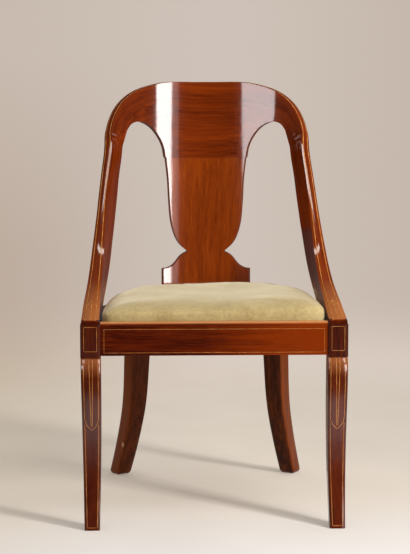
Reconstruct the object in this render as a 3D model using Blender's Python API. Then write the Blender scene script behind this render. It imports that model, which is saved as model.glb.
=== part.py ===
"""Gondola chair: a mahogany side chair whose back sweeps round to the front legs, with a lift-out seat.

Metres, +Z up, +Y to the back of the chair, left and right as seen from in front.
Pieces are drawn with y = 0 at the front of the leg blocks; the empty "chair" brings the middle
of the whole chair over the origin.
"""

import math

import bmesh
import bpy
from mathutils import Vector

for leftover in list(bpy.data.objects):
    bpy.data.objects.remove(leftover, do_unlink=True)

# Gap left for glue or play between touching pieces
GAP = 0.0003

# Seat rails; heights of the back are measured up from the top of the side and back rails
FRONT_WIDTH = 0.510
RAIL_TOP = 0.388
RAIL_DEPTH = 0.059
FRONT_RAIL_LIP = 0.0055
FRONT_RAIL_SET_BACK = 0.003
FRONT_RAIL_WALL = 0.014
FRONT_RAIL_NOSE = 0.008
SIDE_RAIL_WALL_FRONT = 0.0335
SIDE_RAIL_WALL_BACK = 0.026
BACK_RAIL_WALL = 0.024
BACK_RAIL_LEAD = 0.004
LEDGE_WIDTH = 0.010
LEDGE_DROP = 0.020
RAIL_TENON = (0.010, 0.026, 0.015)
TENON_ROOT = 0.004

# Front legs: a block with a sabre leg under it
BLOCK_WIDTH = 0.038
BLOCK_DEPTH = 0.040
BLOCK_BOTTOM = 0.3255
KNEE_BULGE = 0.011
KNEE_EASE = 0.0002
TOE_REACH = 0.034
TOE_WIDTH = 0.029
TOE_DEPTH = 0.026
LEG_EASE = 0.0015
BLOCK_EASE = 0.0008
BLOCK_PROUD = 0.0005
TOE_DRIFT = 0.0025

# Back legs: square heads turned in plan, sabre legs below them; sizes are along the rail and outward
BACK_LEG_X = 0.1475
BACK_LEG_Y = 0.405
BACK_LEG_TURN = math.radians(30)
BACK_LEG_HEAD = (0.042, 0.040)
BACK_LEG_FOOT = (0.034, 0.033)
BACK_LEG_SPLAY = 0.078
BACK_LEG_BEND = 0.285

# Back: crest, splat and stiles share one curve in plan
BACK_RADIUS = 0.285
BACK_RECLINE = math.radians(5.5)
SPLAT_FOOT_Y = 0.440
SPLAT_THICKNESS = 0.015
SPLAT_TENON = (0.080, 0.007, 0.012)
SPLAT_FOOT_HALF = 0.092
SPLAT_SHOULDER_RISE = 0.064
SPLAT_WAIST_HALF = 0.039
SPLAT_WAIST_RISE = 0.100
SPLAT_TOP_HALF = 0.085
SPLAT_RISE = 0.300
CREST_RISE = 0.4600
CREST_THICKNESS = 0.018
CREST_CROWN = 0.0015
ARCH_RISE = 0.3775
ARCH_X = 0.143
STILE_JOINT_RISE = 0.360
STILE_JOINT_OUT = 0.2000
STILE_JOINT_IN = 0.1667
STILE_WIDTH = 0.047
STILE_FOOT_INSET = 0.036
STILE_FOOT_HEIGHT = 0.006
STILE_FOOT_THICKNESS = 0.0345
STILE_FOOT_CROWN = 0.0040
DOWEL_RADIUS = 0.0036
DOWEL_LENGTH = 0.028
BLOCK_DOWEL_DROP = 0.004

# Corner braces and their screws
BRACE_REACH = 0.062
BACK_BRACE_REACH = 0.040
BRACE_THICKNESS = 0.026
BRACE_DROP = 0.004
SCREW_LENGTH = 0.026
SCREW_BITE = 0.012
SCREW_RADIUS = 0.0020
SCREW_HEAD_RADIUS = 0.0040

# Lift-out seat
SEAT_PLAY = 0.0020
COVER_THICKNESS = 0.0012
COVER_RETURN = 0.022
SEAT_FRAME_THICKNESS = 0.016
SEAT_MEMBER_WIDTH = 0.048
SEAT_ROLL_START = 0.017
SEAT_CROWN = 0.0275
SEAT_SOFTNESS = 7
SEAT_CORNER = 0.009
WEB_WIDTH = 0.050
WEB_THICKNESS = 0.0014
WEB_SPACING_X = 0.095
WEB_SPACING_Y = 0.100
WEB_HOLD = 0.026
HESSIAN_THICKNESS = 0.0010
HESSIAN_INSET = 0.010

# Boxwood stringing
STRING_WIDTH = 0.0015
STRING_THICKNESS = 0.0006
LEG_STRING_INSET = 0.0050
BLOCK_STRING_INSET = 0.0067
BLOCK_STRING_RISE = 0.0120
BLOCK_STRING_DROP = 0.0040
RAIL_STRING_INSET = 0.0070
RAIL_STRING_RISE = 0.0055
RAIL_STRING_DROP = 0.0140
LEG_STRING_TOP_DROP = 0.003
LEG_STRING_FOOT_RISE = 0.005
LANCET_HEIGHT = 0.024
LANCET_POINT = 0.188
DAGGER_WIDTH = 0.0070
BACK_STRING_SHARE = 0.2
STILE_ARROW_RUN = 0.1026
STILE_ARROW_LENGTH = 0.020
STILE_ARROW_SHARE = 0.24
STILE_ARROW_ROOM = 0.0054

# Places that follow from the sizes above
RAIL_BOTTOM = RAIL_TOP - RAIL_DEPTH
KNEE_WIDTH = BLOCK_WIDTH - KNEE_EASE
LEDGE_TOP = RAIL_TOP - LEDGE_DROP
FRONT_RAIL_TOP = RAIL_TOP + FRONT_RAIL_LIP
FRONT_OPENING_Y = FRONT_RAIL_SET_BACK + FRONT_RAIL_WALL
BLOCK_INNER = FRONT_WIDTH / 2 - BLOCK_WIDTH
STILE_FOOT_X = FRONT_WIDTH / 2 - STILE_FOOT_INSET
BLOCK_MIDDLE = FRONT_WIDTH / 2 - BLOCK_WIDTH / 2
SPLAT_JOINT = RAIL_TOP + SPLAT_RISE
STILE_JOINT = RAIL_TOP + STILE_JOINT_RISE
CREST_TOP = RAIL_TOP + CREST_RISE
CREST_BACK_Y = SPLAT_FOOT_Y + CREST_RISE * math.tan(BACK_RECLINE) + CREST_THICKNESS
CENTRE_Y = (CREST_BACK_Y - TOE_REACH) / 2


def srgb(red, green, blue):
    """A colour given as screen values, in the linear light that a shader takes."""
    return [((value / 255 + 0.055) / 1.055) ** 2.4 for value in (red, green, blue)] + [1.0]


def finish(name, colour, roughness, metallic=0.0):
    """A plain material for one kind of piece."""
    material = bpy.data.materials.new(name)
    material.use_nodes = True
    shader = material.node_tree.nodes["Principled BSDF"]
    shader.inputs["Base Color"].default_value = colour
    shader.inputs["Roughness"].default_value = roughness
    shader.inputs["Metallic"].default_value = metallic
    return material


MAHOGANY = finish("polished_mahogany", srgb(122, 52, 20), 0.18)
LEG_MAHOGANY = finish("waxed_mahogany", srgb(104, 62, 38), 0.40)
BOXWOOD = finish("boxwood", srgb(196, 132, 62), 0.30)
BEECH = finish("beech", srgb(190, 150, 104), 0.60)
JUTE = finish("jute_webbing", srgb(150, 118, 78), 0.90)
HESSIAN = finish("hessian", srgb(168, 140, 98), 0.95)
HAIR = finish("curled_hair", srgb(96, 80, 62), 0.95)
VELVET = finish("velvet", srgb(200, 188, 144), 0.85)
STEEL = finish("steel", srgb(150, 148, 144), 0.35, 1.0)


def empty(name, place, parent=None):
    """A named point that pieces hang from."""
    point = bpy.data.objects.new(name, None)
    point.location = place
    point.parent = parent
    bpy.context.collection.objects.link(point)
    return point


CHAIR = empty("chair", (0, -CENTRE_Y, 0))
SEAT = empty("seat_lift_axis", (0, CENTRE_Y, LEDGE_TOP), CHAIR)


def solid(name, mesh, material, parent=CHAIR, smooth=True):
    """One piece of the chair, made from a finished bmesh in the chair's drawing frame."""
    data = bpy.data.meshes.new(name)
    bmesh.ops.recalc_face_normals(mesh, faces=mesh.faces)
    mesh.to_mesh(data)
    mesh.free()
    piece = bpy.data.objects.new(name, data)
    bpy.context.collection.objects.link(piece)
    piece.parent = parent
    if parent is SEAT:
        piece.location = -SEAT.location
    if material:
        data.materials.append(material)
    if smooth:
        data.shade_smooth()
        data.set_sharp_from_angle(angle=math.radians(35))
    return piece


def loft(name, rings, material, parent=CHAIR, closed=False):
    """A solid skinned over rings of points, with flat ends unless the rings come back to the start."""
    mesh = bmesh.new()
    loops = [[mesh.verts.new(point) for point in ring] for ring in rings]
    pairs = list(zip(loops, loops[1:]))
    if closed:
        pairs.append((loops[-1], loops[0]))
    for first, second in pairs:
        for i, corner in enumerate(first):
            mesh.faces.new((first[i - 1], corner, second[i], second[i - 1]))
    if not closed:
        mesh.faces.new(loops[0])
        mesh.faces.new(loops[-1])
    return solid(name, mesh, material, parent)


def slab(name, outline, low, high, material, parent=CHAIR):
    """A flat piece: an outline in plan, from one height to another."""
    return loft(name, [[(x, y, z) for x, y in outline] for z in (low, high)], material, parent)


def rod(name, start, end, radii, material, parent=CHAIR, sides=14):
    """A turned piece between two points, with the radius given at shares of its length."""
    start, axis = Vector(start), Vector(end) - Vector(start)
    across = axis.orthogonal().normalized()
    up = axis.normalized().cross(across)
    rings = []
    for share, radius in radii:
        turn = [2 * math.pi * i / sides for i in range(sides)]
        middle = start + axis * share
        rings.append([middle + (across * math.cos(a) + up * math.sin(a)) * radius for a in turn])
    return loft(name, rings, material, parent)


def block(name, middle, axes, size, material, parent=CHAIR):
    """A rectangular block with its three directions given."""
    middle = Vector(middle)
    x, y, z = [Vector(axis).normalized() * length / 2 for axis, length in zip(axes, size)]
    rings = [[middle + end - x - y, middle + end + x - y, middle + end + x + y, middle + end - x + y]
             for end in (-z, z)]
    return loft(name, rings, material, parent)


def helper(piece):
    """Marks a shape that only cuts or joins others."""
    piece.hide_render = True
    piece.display_type = "WIRE"
    return piece


def combine(piece, tool, operation):
    """Cuts one shape out of a piece, or joins it on."""
    step = piece.modifiers.new(tool.name, "BOOLEAN")
    step.operation = operation
    step.solver = "EXACT"
    step.object = tool


def tenon_joint(name, tenoned, mortised, shoulder, axes, size):
    """A tongue on one piece in a slot of the other: axes and size run across, up and into the slot."""
    width, height, depth = size
    inward = Vector(axes[2]).normalized()
    tongue = block(name + "_tenon", Vector(shoulder) + inward * (depth - TENON_ROOT) / 2, axes,
                   (width, height, depth + TENON_ROOT), None)
    slot = block(name + "_mortise", Vector(shoulder) + inward * depth / 2, axes,
                 (width + 2 * GAP, height + 2 * GAP, depth + 4 * GAP), None)
    combine(tenoned, helper(tongue), "UNION")
    combine(mortised, helper(slot), "DIFFERENCE")


def pinned(name, pieces, start, end, radius, reach):
    """Bores one straight hole through the given pieces for a pin between two points."""
    start, end = Vector(start), Vector(end)
    along = (end - start).normalized() * reach
    bore = rod(name + "_bore", start - along, end + along, [(0, radius), (1, radius)], None)
    for piece in pieces:
        combine(piece, helper(bore), "DIFFERENCE")


def curve_through(points, steps):
    """Points on a smooth curve through the given ones, with so many stretches between neighbours."""
    points = [Vector(point) for point in points]
    gaps = [(b - a).length for a, b in zip(points, points[1:])]
    slopes = [(b - a) / gap for a, b, gap in zip(points, points[1:], gaps)]
    tangents = [slopes[0]]
    for i in range(1, len(slopes)):
        share = gaps[i - 1] / (gaps[i - 1] + gaps[i])
        tangents.append(slopes[i - 1].lerp(slopes[i], share))
    tangents.append(slopes[-1])
    found = []
    for i, gap in enumerate(gaps):
        for k in range(steps):
            t = k / steps
            found.append(points[i] * (1 + 2 * t) * (1 - t) ** 2 + points[i + 1] * t * t * (3 - 2 * t)
                         + tangents[i] * gap * t * (1 - t) ** 2 - tangents[i + 1] * gap * t * t * (1 - t))
    return found + [points[-1]]


def eased(corners, ease):
    """A ring of corners with each corner planed off a little."""
    ring = []
    for i, corner in enumerate(corners):
        corner = Vector(corner)
        for other in (corners[i - 1], corners[(i + 1) % len(corners)]):
            ring.append(corner + (Vector(other) - corner).normalized() * ease)
    return ring


def clip(outline, place, outward):
    """The part of a flat outline that lies behind a line, given by a point and its outward direction."""
    place, outward = Vector(place), Vector(outward)
    depths = [(Vector(point) - place).dot(outward) for point in outline]
    kept = []
    for i, point in enumerate(outline):
        last, depth = depths[i - 1], depths[i]
        if last * depth < 0:
            kept.append(Vector(outline[i - 1]).lerp(Vector(point), last / (last - depth)))
        if depth <= 0:
            kept.append(Vector(point))
    return kept


def outward_of(line, i):
    """Direction square to a line of points in plan, to its right."""
    ahead = line[min(i + 1, len(line) - 1)] - line[max(i - 1, 0)]
    return Vector((ahead.y, -ahead.x)).normalized()


def mirrored(points, side):
    """Points drawn for the right side, on the given side."""
    return [Vector((side * point[0], *point[1:])) for point in points]


def side_name(side):
    return "left" if side < 0 else "right"


# Plan of the seat opening and of the back leg heads, drawn for the right side

LEG_OUT = Vector((math.sin(BACK_LEG_TURN), math.cos(BACK_LEG_TURN)))
LEG_ALONG = Vector((math.cos(BACK_LEG_TURN), -math.sin(BACK_LEG_TURN)))
LEG_HEAD = Vector((BACK_LEG_X, BACK_LEG_Y))
SIDE_SHOULDER = LEG_HEAD + LEG_ALONG * (BACK_LEG_HEAD[0] / 2 + GAP)
BACK_SHOULDER = LEG_HEAD - LEG_ALONG * (BACK_LEG_HEAD[0] / 2 + GAP)
LEG_FACE = LEG_HEAD - LEG_OUT * BACK_LEG_HEAD[1] / 2
OPENING_END = SIDE_SHOULDER - LEG_OUT * (SIDE_RAIL_WALL_BACK - LEDGE_WIDTH) / 2
SIDE_OPENING = curve_through([
    (STILE_FOOT_X + (OPENING_END.x - STILE_FOOT_X) * inward, OPENING_END.y * back)
    for inward, back in ((0.01, 0.0), (0.07, 0.335), (0.35, 0.697), (1.0, 1.0))], 7)


def back_curve(across, drop, height=RAIL_TOP):
    """A point on the back's plan curve, so far from the middle and so far in front of the splat's face."""
    radius = BACK_RADIUS - drop
    lean = (height - RAIL_TOP) * math.tan(BACK_RECLINE)
    angle = across / BACK_RADIUS
    centre = SPLAT_FOOT_Y + lean - BACK_RADIUS
    return Vector((radius * math.sin(angle), centre + radius * math.cos(angle)))


LEG_ANGLE_SPAN = BACK_RADIUS * math.asin(BACK_SHOULDER.x / BACK_RADIUS)
BACK_OPENING = [back_curve(LEG_ANGLE_SPAN * (1 - k / 6), BACK_RAIL_LEAD) for k in range(7)]


# Side view of the front legs' faces, from the toe up: distance back and height
LEG_FRONT = curve_through([
    (-TOE_REACH, 0),
    (-0.40 * TOE_REACH, 0.27 * BLOCK_BOTTOM),
    (-0.0075, 0.52 * BLOCK_BOTTOM),
    (-KNEE_BULGE, 0.87 * BLOCK_BOTTOM),
    (-0.55 * KNEE_BULGE, 0.96 * BLOCK_BOTTOM),
    (0.0030, BLOCK_BOTTOM)], 4)


def front_leg(side):
    """Block and sabre leg of one front corner, in one piece."""
    back = curve_through([
        (TOE_DEPTH - TOE_REACH, 0),
        (0.42 * BLOCK_DEPTH, 0.27 * BLOCK_BOTTOM),
        (0.72 * BLOCK_DEPTH, 0.52 * BLOCK_BOTTOM),
        (0.87 * BLOCK_DEPTH, 0.87 * BLOCK_BOTTOM),
        (0.90 * BLOCK_DEPTH, 0.96 * BLOCK_BOTTOM),
        (0.92 * BLOCK_DEPTH, BLOCK_BOTTOM)], 4)
    rings = []
    for (front_y, front_z), (back_y, back_z) in zip(LEG_FRONT, back):
        inner, outer = leg_edges(front_z)
        corners = [(inner, front_y, front_z), (outer, front_y, front_z),
                   (outer, back_y, back_z), (inner, back_y, back_z)]
        rings.append(eased(corners, LEG_EASE))
    for height in (BLOCK_BOTTOM, RAIL_TOP):
        corners = [(BLOCK_INNER, 0, height), (FRONT_WIDTH / 2, 0, height),
                   (FRONT_WIDTH / 2, BLOCK_DEPTH, height), (BLOCK_INNER, BLOCK_DEPTH, height)]
        rings.append(eased(corners, BLOCK_EASE))
    rings = [mirrored(ring, side) for ring in rings]
    return loft("front_leg_" + side_name(side), rings, MAHOGANY)


def leg_edges(height):
    """Inner and outer edge of a front leg at a height."""
    share = min(height / BLOCK_BOTTOM, 1)
    straight = TOE_WIDTH + (BLOCK_WIDTH - 2 * BLOCK_PROUD - TOE_WIDTH) * share
    outer = BLOCK_MIDDLE - TOE_DRIFT * (1 - share) + straight / 2
    width = TOE_WIDTH + (KNEE_WIDTH - TOE_WIDTH) * math.sin(share * math.pi / 2)
    return outer - width, outer


def back_leg(side):
    """Plain sabre leg that splays out and back from its square head."""
    path = curve_through([
        (BACK_LEG_SPLAY, 0),
        (0.57 * BACK_LEG_SPLAY, 0.26 * BACK_LEG_BEND),
        (0.20 * BACK_LEG_SPLAY, 0.55 * BACK_LEG_BEND),
        (0, BACK_LEG_BEND)], 5) + [Vector((0, RAIL_TOP))]
    rings = []
    for out, height in path:
        share = min(height / BACK_LEG_BEND, 1)
        half_along = (BACK_LEG_FOOT[0] + (BACK_LEG_HEAD[0] - BACK_LEG_FOOT[0]) * share) / 2
        half_out = (BACK_LEG_FOOT[1] + (BACK_LEG_HEAD[1] - BACK_LEG_FOOT[1]) * share) / 2
        middle = LEG_HEAD + LEG_OUT * out
        corners = [middle + LEG_ALONG * a * half_along + LEG_OUT * b * half_out
                   for a, b in ((-1, -1), (1, -1), (1, 1), (-1, 1))]
        ring = eased([(x, y, height) for x, y in corners], LEG_EASE)
        rings.append(mirrored(ring, side))
    return loft("back_leg_" + side_name(side), rings, LEG_MAHOGANY)


def rebated(opening, outer, inner, low):
    """Ring of a rebated rail: wall from the outer face to the opening, ledge on to the inner face."""
    corners = [(outer, low), (outer, RAIL_TOP), (opening, RAIL_TOP), (opening, LEDGE_TOP),
               (inner, LEDGE_TOP), (inner, low)]
    return [(x, y, z) for (x, y), z in corners]


def to_plane(point, direction, place, outward):
    """Where a line from a point meets an upright plane."""
    reach = (Vector(place) - Vector(point)).dot(outward) / Vector(direction).dot(outward)
    return Vector(point) + Vector(direction) * reach


def side_rail_lines():
    """Opening, outer and inner line of the right side rail, as one triple of points for each ring."""
    start = Vector((0, BLOCK_DEPTH + GAP))
    points = [point for point in SIDE_OPENING if point.y > start.y + 0.008]
    points.insert(0, to_plane(points[0], points[1] - points[0], start, Vector((0, 1))))
    last = len(points) - 1
    lines = []
    for i, point in enumerate(points):
        away = outward_of(points, i)
        ahead = Vector((-away.y, away.x))
        wall = SIDE_RAIL_WALL_FRONT + (SIDE_RAIL_WALL_BACK - SIDE_RAIL_WALL_FRONT) * i / last
        spots = [point, point + away * wall, point - away * LEDGE_WIDTH]
        if i == 0:
            spots = [to_plane(spot, ahead, start, Vector((0, 1))) for spot in spots]
        if i == last:
            spots = [to_plane(spot, ahead, SIDE_SHOULDER, LEG_ALONG) for spot in spots]
        lines.append(spots)
    return lines


def side_rail(side):
    """Curved rebated rail from the front block to the back leg."""
    rings = [mirrored(rebated(*spots, RAIL_BOTTOM), side) for spots in side_rail_lines()]
    return loft("side_seat_rail_" + side_name(side), rings, MAHOGANY)


def back_rail():
    """Curved rebated rail between the back legs; the splat stands on it."""
    rings = []
    count = 14
    for i in range(count + 1):
        across = LEG_ANGLE_SPAN * (2 * i / count - 1)
        spots = [back_curve(across, drop) for drop in
                 (BACK_RAIL_LEAD, BACK_RAIL_LEAD - BACK_RAIL_WALL, BACK_RAIL_LEAD + LEDGE_WIDTH)]
        if i in (0, count):
            side = -1 if i == 0 else 1
            angle = across / BACK_RADIUS
            ahead = Vector((math.cos(angle), -math.sin(angle)))
            place = Vector((side * BACK_SHOULDER.x, BACK_SHOULDER.y))
            shoulder = Vector((side * LEG_ALONG.x, LEG_ALONG.y))
            spots = [to_plane(spot, ahead, place, shoulder) for spot in spots]
        rings.append(rebated(*spots, RAIL_BOTTOM))
    return loft("back_seat_rail", rings, MAHOGANY)


def front_rail():
    """Straight rebated rail between the blocks, with a rounded upper edge."""
    face = FRONT_RAIL_SET_BACK
    arc = [math.radians(15 * k) for k in range(7)]
    profile = [(face, RAIL_BOTTOM)]
    for a in arc:
        profile.append((face + FRONT_RAIL_NOSE * (1 - math.cos(a)),
                        FRONT_RAIL_TOP - FRONT_RAIL_NOSE * (1 - math.sin(a))))
    profile += [(FRONT_OPENING_Y, FRONT_RAIL_TOP), (FRONT_OPENING_Y, LEDGE_TOP),
                (FRONT_OPENING_Y + LEDGE_WIDTH, LEDGE_TOP), (FRONT_OPENING_Y + LEDGE_WIDTH, RAIL_BOTTOM)]
    end = BLOCK_INNER - GAP
    return loft("front_seat_rail", [[(x, y, z) for y, z in profile] for x in (-end, end)], MAHOGANY)


def crowned(low_front, top_front, top_back, low_back, crown, up):
    """Ring across the ribbon of the back: flat faces, with the visible edge rounded up by the crown."""
    ring = [low_front]
    for k in range(6):
        t = k / 5
        ring.append(top_front.lerp(top_back, t) + up * crown * (1 - (2 * t - 1) ** 2))
    return ring + [low_back]


def ribbon_point(across, height, drop=0.0):
    """A point on the back's front face, by its straight distance from the middle and its height."""
    point = back_curve(BACK_RADIUS * math.asin(across / BACK_RADIUS), drop, height)
    return Vector((point.x, point.y, height))


def crest_curves():
    """Upper and lower edge of the right half of the crest, from the middle out to the stile joint."""
    rise = CREST_TOP - STILE_JOINT
    tab = SPLAT_TOP_HALF
    arch_top = RAIL_TOP + ARCH_RISE
    upper = curve_through([
        (0, CREST_TOP),
        (0.54 * STILE_JOINT_OUT, STILE_JOINT + 0.950 * rise),
        (0.77 * STILE_JOINT_OUT, STILE_JOINT + 0.770 * rise),
        (0.90 * STILE_JOINT_OUT, STILE_JOINT + 0.510 * rise),
        (0.97 * STILE_JOINT_OUT, STILE_JOINT + 0.220 * rise),
        (STILE_JOINT_OUT, STILE_JOINT)], 6)
    arch = curve_through([
        (tab, SPLAT_JOINT),
        (tab + 0.004, SPLAT_JOINT + 0.30 * (arch_top - SPLAT_JOINT)),
        (tab + 0.25 * (ARCH_X - tab), SPLAT_JOINT + 0.60 * (arch_top - SPLAT_JOINT)),
        (tab + 0.57 * (ARCH_X - tab), SPLAT_JOINT + 0.88 * (arch_top - SPLAT_JOINT)),
        (ARCH_X, arch_top),
        (ARCH_X + 0.60 * (STILE_JOINT_IN - ARCH_X), arch_top - 0.27 * (arch_top - STILE_JOINT)),
        (STILE_JOINT_IN, STILE_JOINT)], 4)
    return upper, arch


def splat_outline():
    """Half width and height of the splat, from the seat rail up: foot, ogee, waist and bowl."""
    waist = RAIL_TOP + SPLAT_WAIST_RISE
    shoulder = RAIL_TOP + SPLAT_SHOULDER_RISE
    top = SPLAT_JOINT - GAP
    outline = [(SPLAT_FOOT_HALF, RAIL_TOP + GAP), (SPLAT_FOOT_HALF, shoulder)]
    spread, rise = SPLAT_FOOT_HALF - SPLAT_WAIST_HALF, waist - shoulder
    outline += curve_through([
        (SPLAT_WAIST_HALF + 0.82 * spread, shoulder + 0.03 * rise),
        (SPLAT_WAIST_HALF + 0.61 * spread, shoulder + 0.17 * rise),
        (SPLAT_WAIST_HALF + 0.45 * spread, shoulder + 0.42 * rise),
        (SPLAT_WAIST_HALF + 0.27 * spread, shoulder + 0.77 * rise),
        (SPLAT_WAIST_HALF, waist)], 2)
    spread, rise = SPLAT_TOP_HALF - SPLAT_WAIST_HALF, top - waist
    outline += curve_through([
        (SPLAT_WAIST_HALF, waist),
        (SPLAT_WAIST_HALF + 0.39 * spread, waist + 0.085 * rise),
        (SPLAT_WAIST_HALF + 0.70 * spread, waist + 0.26 * rise),
        (SPLAT_WAIST_HALF + 0.83 * spread, waist + 0.52 * rise),
        (SPLAT_WAIST_HALF + 0.89 * spread, waist + 0.78 * rise),
        (SPLAT_TOP_HALF, top)], 3)[1:]
    return outline


def splat():
    """Vase splat, bent to the plan curve of the back."""
    rings = []
    for half, height in splat_outline():
        ring = []
        for drop, order in ((0, range(9)), (-SPLAT_THICKNESS, reversed(range(9)))):
            for k in order:
                place = back_curve(half * (k / 4 - 1), drop, height)
                ring.append((place.x, place.y, height))
        rings.append(ring)
    return loft("splat", rings, MAHOGANY)


def crest_rings():
    """Rings across the crest from left to right."""
    upper, arch = crest_curves()
    tab = SPLAT_TOP_HALF
    pairs = []
    for k in range(5):
        x = tab * k / 5
        pairs.append((Vector((x, height_on(upper, x))), Vector((x, SPLAT_JOINT))))
    turn = max(i for i, point in enumerate(arch) if point.x <= ARCH_X + 1e-6)
    for point in arch[:turn]:
        pairs.append((Vector((point.x, height_on(upper, point.x))), point))
    rest = arch[turn:]
    tail = [point for point in upper if point.x > ARCH_X]
    tail.insert(0, Vector((ARCH_X, height_on(upper, ARCH_X))))
    steps = 12
    for k in range(steps + 1):
        pairs.append((along(tail, k / steps), along(rest, k / steps)))
    half = []
    for high, low in pairs:
        ring = []
        for (x, z), drop in ((low, 0), (high, 0), (high, -CREST_THICKNESS), (low, -CREST_THICKNESS)):
            ring.append(ribbon_point(x, z, drop))
        half.append(crowned(*ring, CREST_CROWN, (ring[1] - ring[0]).normalized()))
    return [mirrored(ring, -1) for ring in reversed(half[1:])] + half


def crest_rail():
    """Crest: the ribbon across the top, with a tab down to the splat and an arch on each side of it."""
    return loft("crest_rail", crest_rings(), MAHOGANY)


def height_on(curve, x):
    """Height of a curve of (x, height) points at an x."""
    for a, b in zip(curve, curve[1:]):
        if a.x <= x <= b.x:
            return a.y + (b.y - a.y) * (x - a.x) / max(b.x - a.x, 1e-9)
    return curve[-1].y


def along(points, share):
    """The point at a share of the length of a line of points."""
    lengths = [(b - a).length for a, b in zip(points, points[1:])]
    left = share * sum(lengths)
    for a, b, length in zip(points, points[1:], lengths):
        if left <= length:
            return a.lerp(b, left / length)
        left -= length
    return points[-1].copy()


def stile_stations():
    """Path of the stile's inner front corner, foot to crest: place, toe-in, lean, thickness and width."""
    top = ribbon_point(STILE_JOINT_OUT, STILE_JOINT)
    inside = ribbon_point(STILE_JOINT_IN, STILE_JOINT)
    top.z = inside.z = STILE_JOINT - GAP
    foot = Vector((STILE_FOOT_X, 0.0005, RAIL_TOP + STILE_FOOT_HEIGHT))
    turn = math.atan2(top.x - inside.x, inside.y - top.y)
    start_width = (inside - top).length
    marks = []
    for run, rise, inward, toe, lean, thickness, width in (
            (0.00, 0.000, 0.00, 0.03, 0.00, STILE_FOOT_THICKNESS, STILE_WIDTH),
            (0.245, 0.070, 0.00, 0.05, 0.00, STILE_FOOT_THICKNESS * 0.93, STILE_WIDTH),
            (0.49, 0.170, 0.09, 0.22, 0.25, STILE_FOOT_THICKNESS * 0.82, STILE_WIDTH),
            (0.68, 0.337, 0.26, 0.25, 0.80, STILE_FOOT_THICKNESS * 0.71, STILE_WIDTH),
            (0.80, 0.520, 0.42, 0.34, 1.00, CREST_THICKNESS * 1.11, STILE_WIDTH),
            (0.90, 0.715, 0.68, 0.42, 1.00, CREST_THICKNESS, STILE_WIDTH),
            (0.98, 0.940, 1.07, 0.47, 1.00, CREST_THICKNESS, 0.95 * STILE_WIDTH),
            (0.995, 0.985, 1.01, 0.66, 1.00, CREST_THICKNESS, 0.94 * STILE_WIDTH),
            (1.00, 1.000, 1.00, turn, 1.00, CREST_THICKNESS, start_width)):
        place = (foot.x + (top.x - foot.x) * inward, foot.y + (top.y - foot.y) * run,
                 foot.z + (top.z - foot.z) * rise)
        marks.append((*place, toe, lean, thickness, width))
    return marks


def spline_rows(rows, steps):
    """Rows of values run smoothly through the given ones, as the first three of each set a place."""
    places = [Vector(row[:3]) for row in rows]
    others = [row[3:] for row in rows]
    path = curve_through(places, steps)
    found = []
    for i, place in enumerate(path):
        k = min(i // steps, len(rows) - 2)
        t = (i - k * steps) / steps
        found.append((place, [a + (b - a) * t for a, b in zip(others[k], others[k + 1])]))
    return found


def stile_rings():
    """Rings across the stile from the foot up, drawn for the right side."""
    steps = 5
    rows = spline_rows(stile_stations(), steps)
    floor = RAIL_TOP + GAP
    rings = []
    for i, (place, (toe, lean, thickness, width)) in enumerate(rows):
        ahead = rows[min(i + 1, len(rows) - 1)][0] - rows[max(i - 1, 0)][0]
        ahead.normalize()
        # The last stretch turns level to meet the crest
        levelled = max(0, i - (len(rows) - 1 - steps)) / steps
        ahead = ahead.lerp(Vector((0, 0, 1)), levelled).normalized()
        level = Vector((-math.sin(toe), math.cos(toe), 0)) * lean - Vector((0, 0, 1 - lean))
        across = (level - ahead * level.dot(ahead)).normalized()
        outward = Vector((math.cos(toe), math.sin(toe), 0))
        if i == 0:
            across = Vector((0, 0, -1))
        if across.z < 0:
            width = min(width, (floor - place.z) / across.z)
        share = i / (len(rows) - 1)
        crown = STILE_FOOT_CROWN + (CREST_CROWN - STILE_FOOT_CROWN) * min(share * 1.6, 1)
        edge = place + outward * thickness
        rings.append((place + across * width, place, edge, edge + across * width, crown, -across))
    return rings


def stile(side):
    """Ribbon from the front leg block back and up to the crest."""
    rings = [mirrored(crowned(*ring), side) for ring in stile_rings()]
    return loft("stile_" + side_name(side), rings, MAHOGANY)


def frame_joints():
    """Tenons that hold the rails in the legs and the splat between back rail and crest."""
    up = Vector((0, 0, 1))
    middle = (RAIL_BOTTOM + LEDGE_TOP) / 2
    rail_y = FRONT_RAIL_SET_BACK + (FRONT_RAIL_WALL + LEDGE_WIDTH) / 2
    for side in (-1, 1):
        label = side_name(side)
        out = Vector((side * LEG_OUT.x, LEG_OUT.y, 0))
        ahead = Vector((side * LEG_ALONG.x, LEG_ALONG.y, 0))
        tenon_joint("front_rail_" + label, FRONT_RAIL, LEGS[side],
                    (side * (BLOCK_INNER - GAP), rail_y, middle), ((0, 1, 0), up, (side, 0, 0)), RAIL_TENON)
        tenon_joint("side_rail_front_" + label, SIDE_RAILS[side], LEGS[side],
                    (side * BLOCK_MIDDLE, BLOCK_DEPTH + GAP, middle),
                    ((1, 0, 0), up, (0, -1, 0)), RAIL_TENON)
        tenon_joint("side_rail_back_" + label, SIDE_RAILS[side], BACK_LEGS[side],
                    (side * SIDE_SHOULDER.x, SIDE_SHOULDER.y, middle), (out, up, -ahead), RAIL_TENON)
        tenon_joint("back_rail_" + label, BACK_RAIL, BACK_LEGS[side],
                    (side * BACK_SHOULDER.x, BACK_SHOULDER.y, middle), (out, up, ahead), RAIL_TENON)
    splat_ends = (("foot", BACK_RAIL, RAIL_TOP + GAP, -1), ("top", CREST, SPLAT_JOINT - GAP, 1))
    for label, other, height, way in splat_ends:
        place = back_curve(SPLAT_TENON[0] / 4, -SPLAT_THICKNESS / 2, height)
        tenon_joint("splat_" + label, SPLAT, other, (0, place.y, height),
                    ((1, 0, 0), (0, 1, 0), (0, 0, way)), SPLAT_TENON)


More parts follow.
